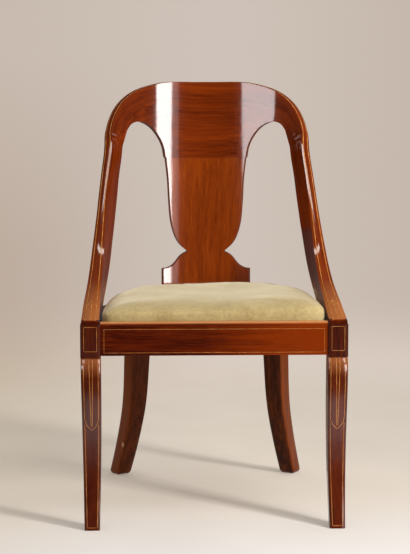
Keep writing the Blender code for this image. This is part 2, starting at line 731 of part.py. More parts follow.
def dowel(name, pieces, place):
    """An upright pin across a level joint, in a bore through both pieces."""
    half = Vector((0, 0, DOWEL_LENGTH / 2))
    start, end = Vector(place) - half, Vector(place) + half
    pinned(name, pieces, start, end, DOWEL_RADIUS + GAP, 2 * GAP)
    return rod(name, start, end, [(0, DOWEL_RADIUS), (1, DOWEL_RADIUS)], BEECH)


def stile_dowels():
    """Dowels from each stile up into the crest and down into the leg block."""
    low_front, top_front, top_back, low_back = stile_rings()[-1][:4]
    joint = (low_front + top_front + top_back + low_back) / 4
    for side in (-1, 1):
        label = side_name(side)
        dowel("crest_dowel_" + label, (STILES[side], CREST), (side * joint.x, joint.y, STILE_JOINT))
        dowel("block_dowel_" + label, (STILES[side], LEGS[side]),
              (side * BLOCK_MIDDLE, 0.75 * BLOCK_DEPTH, RAIL_TOP - BLOCK_DOWEL_DROP))


def screw(name, brace, rail, face, into):
    """Countersunk wood screw through a brace into a rail, in a bore with a wide mouth for its head."""
    face, into = Vector(face), Vector(into).normalized()
    tip = face + into * SCREW_BITE
    head = tip - into * SCREW_LENGTH
    cone = (SCREW_HEAD_RADIUS - SCREW_RADIUS) / SCREW_LENGTH
    shape = [(0, SCREW_HEAD_RADIUS), (0.02, SCREW_HEAD_RADIUS), (0.02 + cone, SCREW_RADIUS),
             (0.90, SCREW_RADIUS), (1, SCREW_RADIUS * 0.35)]
    pinned(name, (brace, rail), head, tip, SCREW_RADIUS + GAP, GAP)
    seat = head + into * SCREW_LENGTH * (0.02 + cone)
    mouth = rod(name + "_mouth", head - into * SCREW_LENGTH, seat + into * GAP,
                [(0, SCREW_HEAD_RADIUS + GAP), (1, SCREW_HEAD_RADIUS + GAP)], None, sides=10)
    combine(brace, helper(mouth), "DIFFERENCE")
    return rod(name, head, tip, shape, STEEL, sides=10)


def point_at(line, test):
    """The point of a line of points where a test value passes through zero."""
    for a, b in zip(line, line[1:]):
        first, second = test(a), test(b)
        if first * second <= 0 and first != second:
            return a.lerp(b, first / (first - second))
    return line[-1].copy()


def braces():
    """Screwed corner braces under the seat ledge, two in front and two behind."""
    top = LEDGE_TOP - BRACE_DROP
    low = top - BRACE_THICKNESS
    middle = (top + low) / 2
    inner_side = [spots[2] for spots in side_rail_lines()]
    clear_side = [a - outward_of(inner_side, i) * GAP for i, a in enumerate(inner_side)]
    back_drop = BACK_RAIL_LEAD + LEDGE_WIDTH + GAP
    inner_back = [back_curve(LEG_ANGLE_SPAN * 1.05 * k / 20, back_drop) for k in range(21)]
    rail_y = FRONT_OPENING_Y + LEDGE_WIDTH + GAP
    corner = clear_side[0].x
    far = point_at(clear_side, lambda p: p.y - rail_y - BRACE_REACH)
    near = point_at(clear_side, lambda p: p.y - rail_y - 0.35 * BRACE_REACH)
    front = [(corner - BRACE_REACH, rail_y), (corner - 0.20 * BRACE_REACH, rail_y), near, far]
    leg_gap = LEG_FACE - LEG_OUT * GAP
    side_end = point_at(clear_side, lambda p: (p - leg_gap).dot(LEG_OUT))
    back_end = point_at(inner_back, lambda p: (p - leg_gap).dot(LEG_OUT))
    side_far = point_at(clear_side, lambda p: side_end.y - p.y - BACK_BRACE_REACH)
    back_far = point_at(inner_back, lambda p: back_end.x - p.x - BACK_BRACE_REACH)
    back = [side_far, side_end, back_end, back_far]
    for side in (-1, 1):
        label = side_name(side)
        piece = slab("front_corner_brace_" + label, mirrored(front, side), low, top, BEECH)
        spot = Vector(front[0]).lerp(Vector(front[1]), 0.62)
        screw("front_brace_rail_screw_" + label, piece, FRONT_RAIL,
              (side * spot.x, rail_y - GAP, middle), (0, -1, 0))
        spot = near.lerp(far, 0.35)
        into = outward_of([near, far], 0)
        screw("front_brace_side_screw_" + label, piece, SIDE_RAILS[side],
              (side * spot.x, spot.y, middle), (side * into.x, into.y, 0))
        piece = slab("back_corner_brace_" + label, mirrored(back, side), low, top, BEECH)
        spot = side_far.lerp(side_end, 0.52)
        into = outward_of([side_far, side_end], 0)
        screw("back_brace_side_screw_" + label, piece, SIDE_RAILS[side],
              (side * spot.x, spot.y, middle), (side * into.x, into.y, 0))
        spot = back_far.lerp(back_end, 0.52)
        into = -outward_of([back_far, back_end], 0)
        screw("back_brace_rail_screw_" + label, piece, BACK_RAIL,
              (side * spot.x, spot.y, middle), (side * into.x, into.y, 0))


def seat_outline():
    """Plan of the seat, a little smaller than the opening, with its back corners cut off at the legs."""
    front_y = FRONT_OPENING_Y + SEAT_PLAY
    side = [point - outward_of(SIDE_OPENING, i) * SEAT_PLAY for i, point in enumerate(SIDE_OPENING)][::2]
    corner = point_at(side, lambda p: p.y - front_y)
    half = [Vector((corner.x / 2, front_y)), Vector((corner.x - SEAT_CORNER, front_y)),
            Vector((corner.x - SEAT_CORNER / 3, front_y + SEAT_CORNER / 3)),
            Vector((corner.x, front_y + SEAT_CORNER))]
    half += [point for point in side if point.y > front_y + 2 * SEAT_CORNER]
    ends = LEG_ANGLE_SPAN * 1.02
    half += [back_curve(ends * (1 - k / 6), BACK_RAIL_LEAD + SEAT_PLAY) for k in range(7)]
    half = clip(half, LEG_FACE - LEG_OUT * SEAT_PLAY, LEG_OUT)
    return half + mirrored(reversed(half[:-1]), -1)


def seat_pieces():
    """Lift-out seat: beech frame, webbing, hessian, stuffing and velvet cover, from the bottom up."""
    outline = seat_outline()
    half = max(point.x for point in outline)
    front_y = min(point.y for point in outline)
    back_y = max(point.y for point in outline)
    middle = Vector((0, (front_y + back_y) / 2))

    def inset(by):
        return [middle + (point - middle) * (1 - by / half) for point in outline]

    low = LEDGE_TOP + GAP
    frame_low = low + COVER_THICKNESS + GAP
    frame_top = frame_low + SEAT_FRAME_THICKNESS
    members = inset(COVER_THICKNESS + 2 * GAP)
    front_line = Vector((0, min(point.y for point in members) + SEAT_MEMBER_WIDTH))
    back_line = Vector((0, max(point.y for point in members) - 1.5 * SEAT_MEMBER_WIDTH))
    ahead, aside = Vector((0, 1)), Vector((0, GAP))
    slab("seat_frame_front", clip(members, front_line, ahead), frame_low, frame_top, BEECH, SEAT)
    slab("seat_frame_back", clip(members, back_line, -ahead), frame_low, frame_top, BEECH, SEAT)
    between = clip(clip(members, front_line + aside, -ahead), back_line - aside, ahead)
    right = [point for point in between if point.x > 0]
    at_front = max(point.x for point in right if point.y < front_line.y + 0.001)
    at_back = max(point.x for point in right if point.y > back_line.y - 0.001)
    inner = Vector((at_front - SEAT_MEMBER_WIDTH, front_line.y))
    slope = Vector((at_back - at_front, back_line.y - front_line.y)).normalized()
    right = clip(between, inner, Vector((-slope.y, slope.x)))
    slab("seat_frame_right", right, frame_low, frame_top, BEECH, SEAT)
    slab("seat_frame_left", mirrored(right, -1), frame_low, frame_top, BEECH, SEAT)

    webbing(frame_top, front_line.y, back_line.y, at_front, at_back)
    hessian_low = frame_top + 2 * WEB_THICKNESS + 3 * GAP
    pad_low = hessian_low + HESSIAN_THICKNESS + GAP
    slab("hessian", inset(HESSIAN_INSET), hessian_low, hessian_low + HESSIAN_THICKNESS, HESSIAN, SEAT)

    def dome(by):
        """Rings of the crowned top, from the middle outwards, drawn in by the given depth."""
        rings = []
        for share in (0.30, 0.50, 0.66, 0.78, 0.87, 0.93, 0.97, 1.0):
            height = RAIL_TOP + SEAT_ROLL_START + SEAT_CROWN * (1 - share ** SEAT_SOFTNESS) - by
            rings.append([(*(middle + (point - middle) * share), height) for point in inset(by)])
        return rings

    pad_by = COVER_THICKNESS + GAP
    pad = dome(pad_by)
    pad.append([(*point, pad_low) for point in inset(pad_by)])
    loft("seat_pad", pad, HAIR, SEAT)
    shell = dome(0)
    shell.append([(*point, low) for point in inset(0)])
    shell.append([(*point, low) for point in inset(COVER_RETURN)])
    shell.append([(*point, low + COVER_THICKNESS) for point in inset(COVER_RETURN)])
    shell.append([(*point, low + COVER_THICKNESS) for point in inset(COVER_THICKNESS)])
    shell += reversed(dome(COVER_THICKNESS))
    loft("seat_cover", shell, VELVET, SEAT)


def webbing(frame_top, front_y, back_y, at_front, at_back):
    """Jute straps tacked across the seat frame, three each way, woven over and under."""
    middle_y = (front_y + back_y) / 2
    low = frame_top + GAP
    lift = WEB_THICKNESS + GAP
    reach = WEB_WIDTH / 2 + 0.004
    columns = [-WEB_SPACING_X, 0, WEB_SPACING_X]
    rows = [middle_y - WEB_SPACING_Y, middle_y, middle_y + WEB_SPACING_Y]
    for way, names in (("long", ("left", "middle", "right")), ("cross", ("front", "middle", "back"))):
        for i, label in enumerate(names):
            crossings = rows if way == "long" else columns
            if way == "long":
                ends = (front_y - WEB_HOLD, back_y + WEB_HOLD)
            else:
                share = (rows[i] - front_y) / (back_y - front_y)
                end = at_front + (at_back - at_front) * share - SEAT_MEMBER_WIDTH + WEB_HOLD
                ends = (-end, end)
            stops = [(ends[0], 0)]
            for j, crossing in enumerate(crossings):
                over = (i + j) % 2 == (0 if way == "long" else 1)
                stops += [(crossing - reach, lift * over), (crossing + reach, lift * over)]
            stops.append((ends[1], 0))
            rings = []
            for place, height in stops:
                ring = []
                for edge, rise in ((-1, 0), (1, 0), (1, 1), (-1, 1)):
                    across = edge * WEB_WIDTH / 2
                    spot = (columns[i] + across, place) if way == "long" else (place, rows[i] + across)
                    ring.append((*spot, low + height + rise * WEB_THICKNESS))
                rings.append(ring)
            loft("webbing_" + way + "_" + label, rings, JUTE, SEAT)


def string_line(name, path, closed=False):
    """A flat boxwood line laid along places on a face, each given with the face's outward direction."""
    rings = []
    count = len(path)
    for i, (place, outward) in enumerate(path):
        before = path[i - 1] if closed or i else None
        after = path[(i + 1) % count] if closed or i < count - 1 else None
        ways = []
        if before:
            ways.append((place - before[0]).normalized())
        if after:
            ways.append((after[0] - place).normalized())
        sides = [outward.cross(way).normalized() for way in ways]
        mitre = sum(sides, Vector()).normalized()
        mitre *= STRING_WIDTH / 2 / max(mitre.dot(sides[0]), 0.5)
        base, face = outward * GAP, outward * (GAP + STRING_THICKNESS)
        near, far = place - mitre, place + mitre
        rings.append([near + base, far + base, far + face, near + face])
    return loft(name, rings, BOXWOOD, closed=closed)


def rectangle_string(name, left, right, low, high, y):
    """A closed string rectangle on an upright front face."""
    corners = [(left, low), (right, low), (right, high), (left, high)]
    front = Vector((0, -1, 0))
    return string_line(name, [(Vector((x, y, z)), front) for x, z in corners], closed=True)


def leg_face(height):
    """Place and outward direction of a front leg's face at a height, in the drawing of the right leg."""
    for a, b in zip(LEG_FRONT, LEG_FRONT[1:]):
        if a.y <= height <= b.y:
            place = a.lerp(b, (height - a.y) / (b.y - a.y))
            way = b - a
            return place.x, Vector((0, -way.y, way.x)).normalized()
    return LEG_FRONT[-1].x, Vector((0, -1, 0))


def leg_path(side, marks):
    """Path on a leg's face through marks of height and share from the middle line to the string inset."""
    path = []
    for height, share in marks:
        inner, outer = leg_edges(height)
        reach = (outer - inner) / 2 - LEG_STRING_INSET
        y, outward = leg_face(height)
        path.append((Vector((side * ((inner + outer) / 2 + reach * share), y, height)), outward))
    return path


def levels(low, high):
    """Heights from low to high, with every ring of the front leg between them."""
    return [low] + [p.y for p in LEG_FRONT if low + 0.002 < p.y < high - 0.002] + [high]


def leg_strings(side):
    """Lancet panel, dagger lines and foot border on the face of one front leg."""
    label = side_name(side)
    top = BLOCK_BOTTOM - LEG_STRING_TOP_DROP
    spring = LANCET_POINT + LANCET_HEIGHT
    curve = [(LANCET_POINT + LANCET_HEIGHT * t, (t * (2 - t)) ** 0.8) for t in (0.80, 0.60, 0.40, 0.20)]
    down = [(height, -1) for height in reversed(levels(spring, top))]
    arch = [(height, -share) for height, share in curve] + [(LANCET_POINT, 0)]
    marks = down + arch + [(height, -share) for height, share in reversed(down + arch[:-1])]
    string_line("leg_lancet_string_" + label, leg_path(side, marks))
    inner, outer = leg_edges(top)
    start = DAGGER_WIDTH / (outer - inner - 2 * LEG_STRING_INSET)
    tip = LANCET_POINT + 0.12 * LANCET_HEIGHT
    close = STRING_WIDTH * 0.8 / (outer - inner - 2 * LEG_STRING_INSET) * 2
    for edge, word in ((-1, "inner"), (1, "outer")):
        marks = [(height, edge * (close + (start - close) * (height - tip) / (top - tip)))
                 for height in levels(tip + 0.004, top)]
        string_line("leg_dagger_" + word + "_string_" + label, leg_path(side, marks))
    lines = levels(LEG_STRING_FOOT_RISE, LANCET_POINT + 0.5 * LANCET_HEIGHT)
    marks = [(height, -1) for height in reversed(lines)] + [(height, 1) for height in lines]
    string_line("leg_border_string_" + label, leg_path(side, marks))


def ribbon_strings():
    """Two lines along the rounded edge of stiles and crest, and an arrow up the middle of each stile foot."""
    feet = [crowned(*ring) for ring in stile_rings()]
    crest = crest_rings()
    for share, word in ((BACK_STRING_SHARE, "inner"), (1 - BACK_STRING_SHARE, "outer")):
        right = [across_ring(ring, share) for ring in feet]
        left = [(Vector((-p.x, p.y, p.z)), Vector((-t.x, t.y, t.z))) for p, t in right]
        top = [across_ring(ring, share) for ring in crest]
        string_line("back_string_" + word, faced(left[:-1] + top + right[-2::-1]))
    shaft_end = STILE_ARROW_RUN - STILE_ARROW_ROOM
    shaft = [(shaft_end * k / 5, 0.5) for k in range(6)]
    head = [(STILE_ARROW_RUN - STILE_ARROW_LENGTH * abs(t), 0.5 + STILE_ARROW_SHARE * t)
            for t in (-1, -0.4, 0, 0.4, 1)]
    for side in (-1, 1):
        for word, marks in (("foot", shaft), ("arrow", head)):
            path = [foot_mark(feet, run, share) for run, share in marks]
            path = [(Vector((side * p.x, p.y, p.z)), Vector((side * t.x, t.y, t.z))) for p, t in path]
            string_line("stile_" + word + "_string_" + side_name(side), path)


def foot_mark(feet, run, share):
    """A place on the rounded edge of a stile, by its run up from the tip of the foot, and its outward way."""
    for ring, after in zip(feet, feet[1:]):
        near, across = across_ring(ring, share)
        step = across_ring(after, share)[0] - near
        if run <= step.length:
            break
        run -= step.length
    up = step.cross(across).normalized()
    return near + step.normalized() * run, up if up.z > 0 else -up


def across_ring(ring, share):
    """A place on the rounded edge of a ribbon ring, at a share of the way across, and the way across."""
    spot = share * 5
    k = min(int(spot), 4)
    return ring[1 + k].lerp(ring[2 + k], spot - k), (ring[6] - ring[1]).normalized()


def faced(path):
    """Places with the way across at each, turned into places with the upward direction of the edge."""
    turned = []
    for i, (place, across) in enumerate(path):
        ahead = path[min(i + 1, len(path) - 1)][0] - path[max(i - 1, 0)][0]
        up = ahead.cross(across).normalized()
        turned.append((place, up if up.z > 0 else -up))
    return turned


LEGS = {side: front_leg(side) for side in (-1, 1)}
BACK_LEGS = {side: back_leg(side) for side in (-1, 1)}
SIDE_RAILS = {side: side_rail(side) for side in (-1, 1)}
STILES = {side: stile(side) for side in (-1, 1)}
FRONT_RAIL = front_rail()
BACK_RAIL = back_rail()
CREST = crest_rail()
SPLAT = splat()
frame_joints()
stile_dowels()
braces()
seat_pieces()
rectangle_string("front_rail_string", RAIL_STRING_INSET - BLOCK_INNER, BLOCK_INNER - RAIL_STRING_INSET,
                 RAIL_BOTTOM + RAIL_STRING_RISE, FRONT_RAIL_TOP - RAIL_STRING_DROP, FRONT_RAIL_SET_BACK)
for SIDE in (-1, 1):
    rectangle_string("block_string_" + side_name(SIDE),
                     SIDE * BLOCK_MIDDLE - BLOCK_WIDTH / 2 + BLOCK_STRING_INSET,
                     SIDE * BLOCK_MIDDLE + BLOCK_WIDTH / 2 - BLOCK_STRING_INSET,
                     BLOCK_BOTTOM + BLOCK_STRING_RISE, RAIL_TOP - BLOCK_STRING_DROP, 0)
    leg_strings(SIDE)
ribbon_strings()
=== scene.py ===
"""The looks of a gondola chair: French-polished mahogany, boxwood stringing and a drop-in velvet seat."""

import math

import bmesh
import bpy
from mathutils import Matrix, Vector, kdtree, noise


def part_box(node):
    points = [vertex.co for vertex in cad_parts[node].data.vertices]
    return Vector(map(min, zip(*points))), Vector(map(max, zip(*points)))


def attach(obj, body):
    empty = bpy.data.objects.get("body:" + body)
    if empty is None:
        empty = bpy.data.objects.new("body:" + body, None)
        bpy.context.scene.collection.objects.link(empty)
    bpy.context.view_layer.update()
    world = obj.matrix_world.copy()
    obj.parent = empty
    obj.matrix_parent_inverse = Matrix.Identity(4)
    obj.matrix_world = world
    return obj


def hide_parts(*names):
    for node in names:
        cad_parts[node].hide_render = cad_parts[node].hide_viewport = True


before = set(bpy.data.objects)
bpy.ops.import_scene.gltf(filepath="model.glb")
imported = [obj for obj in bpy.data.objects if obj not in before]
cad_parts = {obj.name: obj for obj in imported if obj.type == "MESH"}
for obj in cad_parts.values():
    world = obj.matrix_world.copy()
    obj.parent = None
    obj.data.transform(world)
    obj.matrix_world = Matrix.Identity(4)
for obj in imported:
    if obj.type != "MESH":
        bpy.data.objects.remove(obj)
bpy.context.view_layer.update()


# Front legs
# Each is one length of mahogany: a square block at the seat corner with a sabre leg sawn below it.
# The edges are eased with a plane and the whole is French-polished, with a painted highlight on each knee.

WELD_REACH = 1e-5
CRISP_ANGLE = math.radians(28)
CURVE_LEVELS = 2
FOOT_CORNER = 0.5
EDGE_EASE = 0.0006
EDGE_TURN = (0.80, 0.98)
WORN_TINT = (1.35, 1.4, 1.45)
PORE_TINT = (0.45, 0.40, 0.40)
GRAIN_SWAY = (0.02, 0.02, 0.02)
PAINTED_FACING_TURN = (0.2, 0.8)
BRUISE_STRETCH = (1.0, 0.12, 0.45)
BRUISE_RIM = (0.0030, 0.0014)
POLISH_DEPTH = 0.00008
ACROSS, UP = 0, 2


def screen(red, green, blue):
    """A colour given as screen values, in the linear light that shaders take."""
    return [((value / 255 + 0.055) / 1.055) ** 2.4 for value in (red, green, blue)] + [1.0]


def feed(node, inputs):
    """Sets the inputs of a node to values, or joins them to the outputs of other nodes."""
    for name, value in inputs.items():
        if isinstance(value, bpy.types.NodeSocket):
            node.id_data.links.new(value, node.inputs[name])
        else:
            node.inputs[name].default_value = value


def put(tree, kind, inputs=None, **settings):
    """Adds a node to a tree, with its settings and its inputs."""
    node = tree.nodes.new(kind)
    for name, value in settings.items():
        setattr(node, name, value)
    feed(node, inputs or {})
    return node


def shader_group(name, takes, gives):
    """An empty shader group with named inputs and outputs: the tree, what it takes and what it gives."""
    tree = bpy.data.node_groups.new(name, "ShaderNodeTree")
    for label, kind, value in takes:
        socket = tree.interface.new_socket(label, in_out="INPUT", socket_type="NodeSocket" + kind)
        if value is not None:
            socket.default_value = value
    for label, kind in gives:
        tree.interface.new_socket(label, in_out="OUTPUT", socket_type="NodeSocket" + kind)
    return tree, tree.nodes.new("NodeGroupInput").outputs, tree.nodes.new("NodeGroupOutput").inputs


def new_finish(name):
    """A new material, with its tree and its shader."""
    material = bpy.data.materials.new(name)
    material.use_nodes = True
    return material, material.node_tree, material.node_tree.nodes["Principled BSDF"]


def sums(tree, operation, first, second):
    """The outcome of one sum on two values."""
    return put(tree, "ShaderNodeMath", {0: first, 1: second}, operation=operation).outputs[0]


def weighed(tree, *parts):
    """Several values added up, each times its own weight."""
    shares = [sums(tree, "MULTIPLY", value, weight) for value, weight in parts]
    total = shares[0]
    for share in shares[1:]:
        total = sums(tree, "ADD", total, share)
    return total


def vectors(tree, operation, first, second):
    """The outcome of one sum on two vectors."""
    return put(tree, "ShaderNodeVectorMath", {0: first, 1: second}, operation=operation).outputs[0]


def likeness(tree, first, second):
    """How far two directions agree, from 1 for the same one to -1 for the opposite."""
    return put(tree, "ShaderNodeVectorMath", {0: first, 1: second}, operation="DOT_PRODUCT").outputs["Value"]


def spread(tree, value, low, high, to_low=0.0, to_high=1.0):
    """A value stretched from one range to another and held there."""
    return put(tree, "ShaderNodeMapRange", {"Value": value, "From Min": low, "From Max": high,
                                            "To Min": to_low, "To Max": to_high}).outputs[0]


def mixed(tree, share, first, second):
    """Two colours mixed by a share."""
    return put(tree, "ShaderNodeMix", {0: share, 6: first, 7: second}, data_type="RGBA").outputs[2]


def clouds(tree, vector, scale, detail, roughness=0.5):
    """Plain cloudy noise, by its features per metre and how finely they break up."""
    return put(tree, "ShaderNodeTexNoise", {"Vector": vector, "Scale": scale, "Detail": detail,
                                            "Roughness": roughness}).outputs[0]


def streaks(tree, vector, along, across, detail):
    """Noise drawn out along X: features per metre along the grain and across it."""
    return clouds(tree, vectors(tree, "MULTIPLY", vector, (along, across, across)), 1.0, detail, 0.55)


def build_mahogany_grain():
    """Mahogany with its grain along X: broad ribbon figure, streaks, fibres and short dark pores."""
    tree, take, give = shader_group(
        "mahogany_grain",
        [("Vector", "Vector", None), ("Dark", "Color", screen(76, 20, 4)),
         ("Light", "Color", screen(150, 62, 14)), ("Tone", "Float", 0.0)],
        [("Color", "Color"), ("Height", "Float")])
    sway = put(tree, "ShaderNodeTexNoise", {"Vector": take["Vector"], "Scale": 3.0, "Detail": 1.0})
    shift = vectors(tree, "SUBTRACT", sway.outputs[1], (0.5, 0.5, 0.5))
    swayed = put(tree, "ShaderNodeVectorMath", {0: shift, 1: GRAIN_SWAY, 2: take["Vector"]},
                 operation="MULTIPLY_ADD").outputs[0]
    figure = streaks(tree, swayed, 2.6, 30.0, 2.0)
    lines = streaks(tree, swayed, 5.0, 150.0, 4.0)
    fibres = streaks(tree, swayed, 24.0, 620.0, 2.0)
    pores = spread(tree, streaks(tree, swayed, 130.0, 2400.0, 1.0), 0.60, 0.72)
    tone = weighed(tree, (figure, 0.34), (lines, 0.40), (fibres, 0.26))
    tone = sums(tree, "ADD", spread(tree, tone, 0.33, 0.67), take["Tone"])
    clear = mixed(tree, tone, take["Dark"], take["Light"])
    dark = vectors(tree, "MULTIPLY", clear, PORE_TINT)
    tree.links.new(mixed(tree, sums(tree, "MULTIPLY", pores, 0.5), clear, dark), give["Color"])
    tree.links.new(sums(tree, "SUBTRACT", sums(tree, "MULTIPLY", fibres, 0.25), pores), give["Height"])
    return tree


def build_hand_finish():
    """Traces of a hand-rubbed finish: slow ripple, hazy patches and wear where the face turns an edge."""
    tree, take, give = shader_group(
        "hand_finish", [("Vector", "Vector", None), ("Edge", "Float", 0.0)],
        [("Ripple", "Float"), ("Haze", "Float"), ("Wear", "Float")])
    ripple = clouds(tree, take["Vector"], 16.0, 1.0)
    haze = clouds(tree, take["Vector"], 30.0, 4.0)
    patches = clouds(tree, take["Vector"], 70.0, 3.0)
    along_edges = sums(tree, "MULTIPLY", take["Edge"], spread(tree, patches, 0.35, 0.65, 0.25, 1.0))
    tree.links.new(ripple, give["Ripple"])
    tree.links.new(spread(tree, haze, 0.35, 0.70), give["Haze"])
    tree.links.new(along_edges, give["Wear"])
    return tree


MAHOGANY_GRAIN = build_mahogany_grain()
HAND_FINISH = build_hand_finish()


def polished(name, dark, light, turn=(0.0, 0.0, 0.0), shift=(0.0, 0.0, 0.0), flow=False, gloss=0.05,
             shine=0.75, fade=None, painted_sheen=None, knock=None, ease=EDGE_EASE, painted_facing=None):
    """Mahogany under polish. The turn lays the grain along the piece, or it follows the piece's own flow.

    A fade is an axis, a stretch of it and the tones at its ends. A painted sheen is a painted highlight: an
    axis, where it begins, where it is full, where that ends at a corner, and the colour it paints. A knock
    is
    the place of a pale bruise. Ease is the rounding of the edges. Painted facing is painted light and shade:
    the way that the lit faces look, with the tones of the faces turned from it and towards it.
    """
    material, tree, shader = new_finish(name)
    place = put(tree, "ShaderNodeTexCoord").outputs["Object"]
    run = put(tree, "ShaderNodeAttribute", attribute_name="flow").outputs["Vector"] if flow else place
    board = put(tree, "ShaderNodeMapping", {"Vector": run, "Rotation": turn, "Location": shift}).outputs[0]
    grain = put(tree, "ShaderNodeGroup", {"Vector": board, "Dark": dark, "Light": light},
                node_tree=MAHOGANY_GRAIN)
    if fade:
        axis = put(tree, "ShaderNodeSeparateXYZ", {0: place}).outputs[fade[0]]
        feed(grain, {"Tone": spread(tree, axis, *fade[1:])})
    # Painted light and shade: faces turned towards the given way are painted paler, those turned away
    # darker.
    if painted_facing:
        outward = put(tree, "ShaderNodeTexCoord").outputs["Normal"]
        facing = likeness(tree, outward, painted_facing[0])
        feed(grain, {"Tone": spread(tree, facing, *PAINTED_FACING_TURN, *painted_facing[1:])})
    rounded = put(tree, "ShaderNodeBevel", {"Radius": ease}, samples=4).outputs[0]
    flat = put(tree, "ShaderNodeNewGeometry").outputs["Normal"]
    edge = spread(tree, likeness(tree, rounded, flat), *EDGE_TURN, 1.0, 0.0)
    traces = put(tree, "ShaderNodeGroup", {"Vector": place, "Edge": edge}, node_tree=HAND_FINISH).outputs
    colour = grain.outputs["Color"]
    colour = mixed(tree, traces["Wear"], colour, vectors(tree, "MULTIPLY", colour, WORN_TINT))
    # A painted highlight: the wood is painted paler over a band where light catches the piece.
    if painted_sheen:
        axis = put(tree, "ShaderNodeSeparateXYZ", {0: place}).outputs[painted_sheen[0]]
        corner = math.copysign(EDGE_EASE, painted_sheen[2] - painted_sheen[1])
        sheen_share = sums(tree, "MULTIPLY", spread(tree, axis, painted_sheen[1], painted_sheen[2]),
                     spread(tree, axis, painted_sheen[3], painted_sheen[3] + corner, 1.0, 0.0))
        colour = mixed(tree, sheen_share, colour, painted_sheen[4])
    if knock:
        drawn = vectors(tree, "MULTIPLY", vectors(tree, "SUBTRACT", place, knock), BRUISE_STRETCH)
        away = put(tree, "ShaderNodeVectorMath", {0: drawn}, operation="LENGTH").outputs["Value"]
        colour = mixed(tree, spread(tree, away, *BRUISE_RIM), colour, screen(186, 142, 106))
    rough = sums(tree, "ADD", spread(tree, traces["Haze"], 0.0, 1.0, gloss, gloss + 0.05),
                 sums(tree, "MULTIPLY", traces["Wear"], 0.15))
    height = weighed(tree, (traces["Ripple"], 12.0), (grain.outputs["Height"], 0.12))
    bump = put(tree, "ShaderNodeBump", {"Height": height, "Strength": 0.2, "Distance": POLISH_DEPTH,
                                        "Normal": rounded})
    feed(shader, {"Base Color": colour, "Roughness": rough, "Normal": bump.outputs[0],
                  "Specular IOR Level": shine, "Coat Weight": 0.1 * shine, "Coat Roughness": 0.20})
    return material


def welded(*nodes):
    """The shape of one or more solids, with their loose triangles joined."""
    shape = bmesh.new()
    for node in nodes:
        shape.from_mesh(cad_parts[node].data)
    bmesh.ops.remove_doubles(shape, verts=shape.verts, dist=WELD_REACH)
    return shape


def mesh_of(shape, name):
    """The plain mesh of a worked shape."""
    mesh = bpy.data.meshes.new(name)
    shape.to_mesh(mesh)
    shape.free()
    return mesh


def placed(name, data):
    """An object in the scene for a mesh, a lamp or a camera."""
    item = bpy.data.objects.new(name, data)
    bpy.context.scene.collection.objects.link(item)
    return item


def settle(piece):
    """Turns what a piece's modifiers make into its own plain mesh."""
    bpy.context.view_layer.update()
    graph = bpy.context.evaluated_depsgraph_get()
    made = bpy.data.meshes.new_from_object(piece.evaluated_get(graph))
    piece.modifiers.clear()
    piece.data = made


def curved(shape, name):
    """A piece from a shape of flat facets, with its gentle bends drawn as curves."""
    bmesh.ops.join_triangles(shape, faces=shape.faces, angle_face_threshold=math.radians(8),
                             angle_shape_threshold=math.radians(70))
    crease = shape.edges.layers.float.new("crease_edge")
    for edge in shape.edges:
        if len(edge.link_faces) != 2 or edge.calc_face_angle() > CRISP_ANGLE:
            edge[crease] = 1.0
    piece = placed(name, mesh_of(shape, name))
    step = piece.modifiers.new("curves", "SUBSURF")
    step.levels = CURVE_LEVELS
    step.render_levels = CURVE_LEVELS
    settle(piece)
    return piece


def dressed(piece, node, material):
    """Gives a smooth piece its crisp corners and its finish, and puts it in the place of its solid."""
    piece.data.shade_smooth()
    piece.data.set_sharp_from_angle(angle=CRISP_ANGLE)
    piece.data.materials.clear()
    piece.data.materials.append(material)
    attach(piece, "frame")
    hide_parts(node)
    return piece


def planed(node, material, worn=0.0):
    """A smooth piece in place of a sawn solid, with the edges of its foot rounded where they are worn."""
    shape = welded(node)
    if worn:
        lower = [edge for edge in shape.edges if edge.calc_face_angle(0.0) > FOOT_CORNER
                 and max(point.co.z for point in edge.verts) < worn]
        bmesh.ops.bevel(shape, geom=lower, offset=worn, offset_type="OFFSET", segments=4, profile=0.5,
                        affect="EDGES")
    return dressed(curved(shape, node + "_wood"), node, material)


upright = (0.0, math.radians(90), 0.0)
WOOD = []
for leg_side, leg_shift in (("left", (0.3, 0.1, 0.0)), ("right", (1.7, 0.6, 0.2))):
    leg_finish = polished("front_leg_mahogany_" + leg_side, screen(50, 12, 3), screen(94, 32, 6),
                          turn=upright, shift=leg_shift, gloss=0.16, shine=0.6,
                          fade=(UP, 0.3215, 0.3275, 0.15, -0.08),
                          # A painted highlight across the top of each knee, just under the block.
                          painted_sheen=(UP, 0.289, 0.319, 0.3249, screen(138, 76, 38)))
    WOOD.append(planed("front_leg_" + leg_side, leg_finish))


# Back legs
# Plain sabre legs that splay out and back from square heads. They are waxed, not polished, and so duller
# and browner than the front, with a knocked side and worn feet. Painted light makes the faces that look
# outwards paler, and painted shade makes the faces turned away darker.

FOOT_WEAR = 0.008
for leg_side, leg_shift, leg_light, leg_knock, leg_painted_facing in (
        ("left", (2.3, 0.4, 0.7), screen(118, 54, 18), (-0.1795, 0.191, 0.0725),
         ((-0.87, -0.5, 0.0), -0.15, 0.30)),
        ("right", (3.1, 0.9, 0.3), screen(124, 58, 22), None, ((0.87, -0.5, 0.0), -0.38, 0.30))):
    # Painted light on the faces that look outwards and painted shade on those turned away.
    leg_finish = polished("back_leg_mahogany_" + leg_side, screen(50, 19, 6), leg_light, turn=upright,
                          shift=leg_shift, gloss=0.32, shine=0.08, knock=leg_knock, painted_facing=leg_painted_facing)
    WOOD.append(planed("back_leg_" + leg_side, leg_finish, FOOT_WEAR))
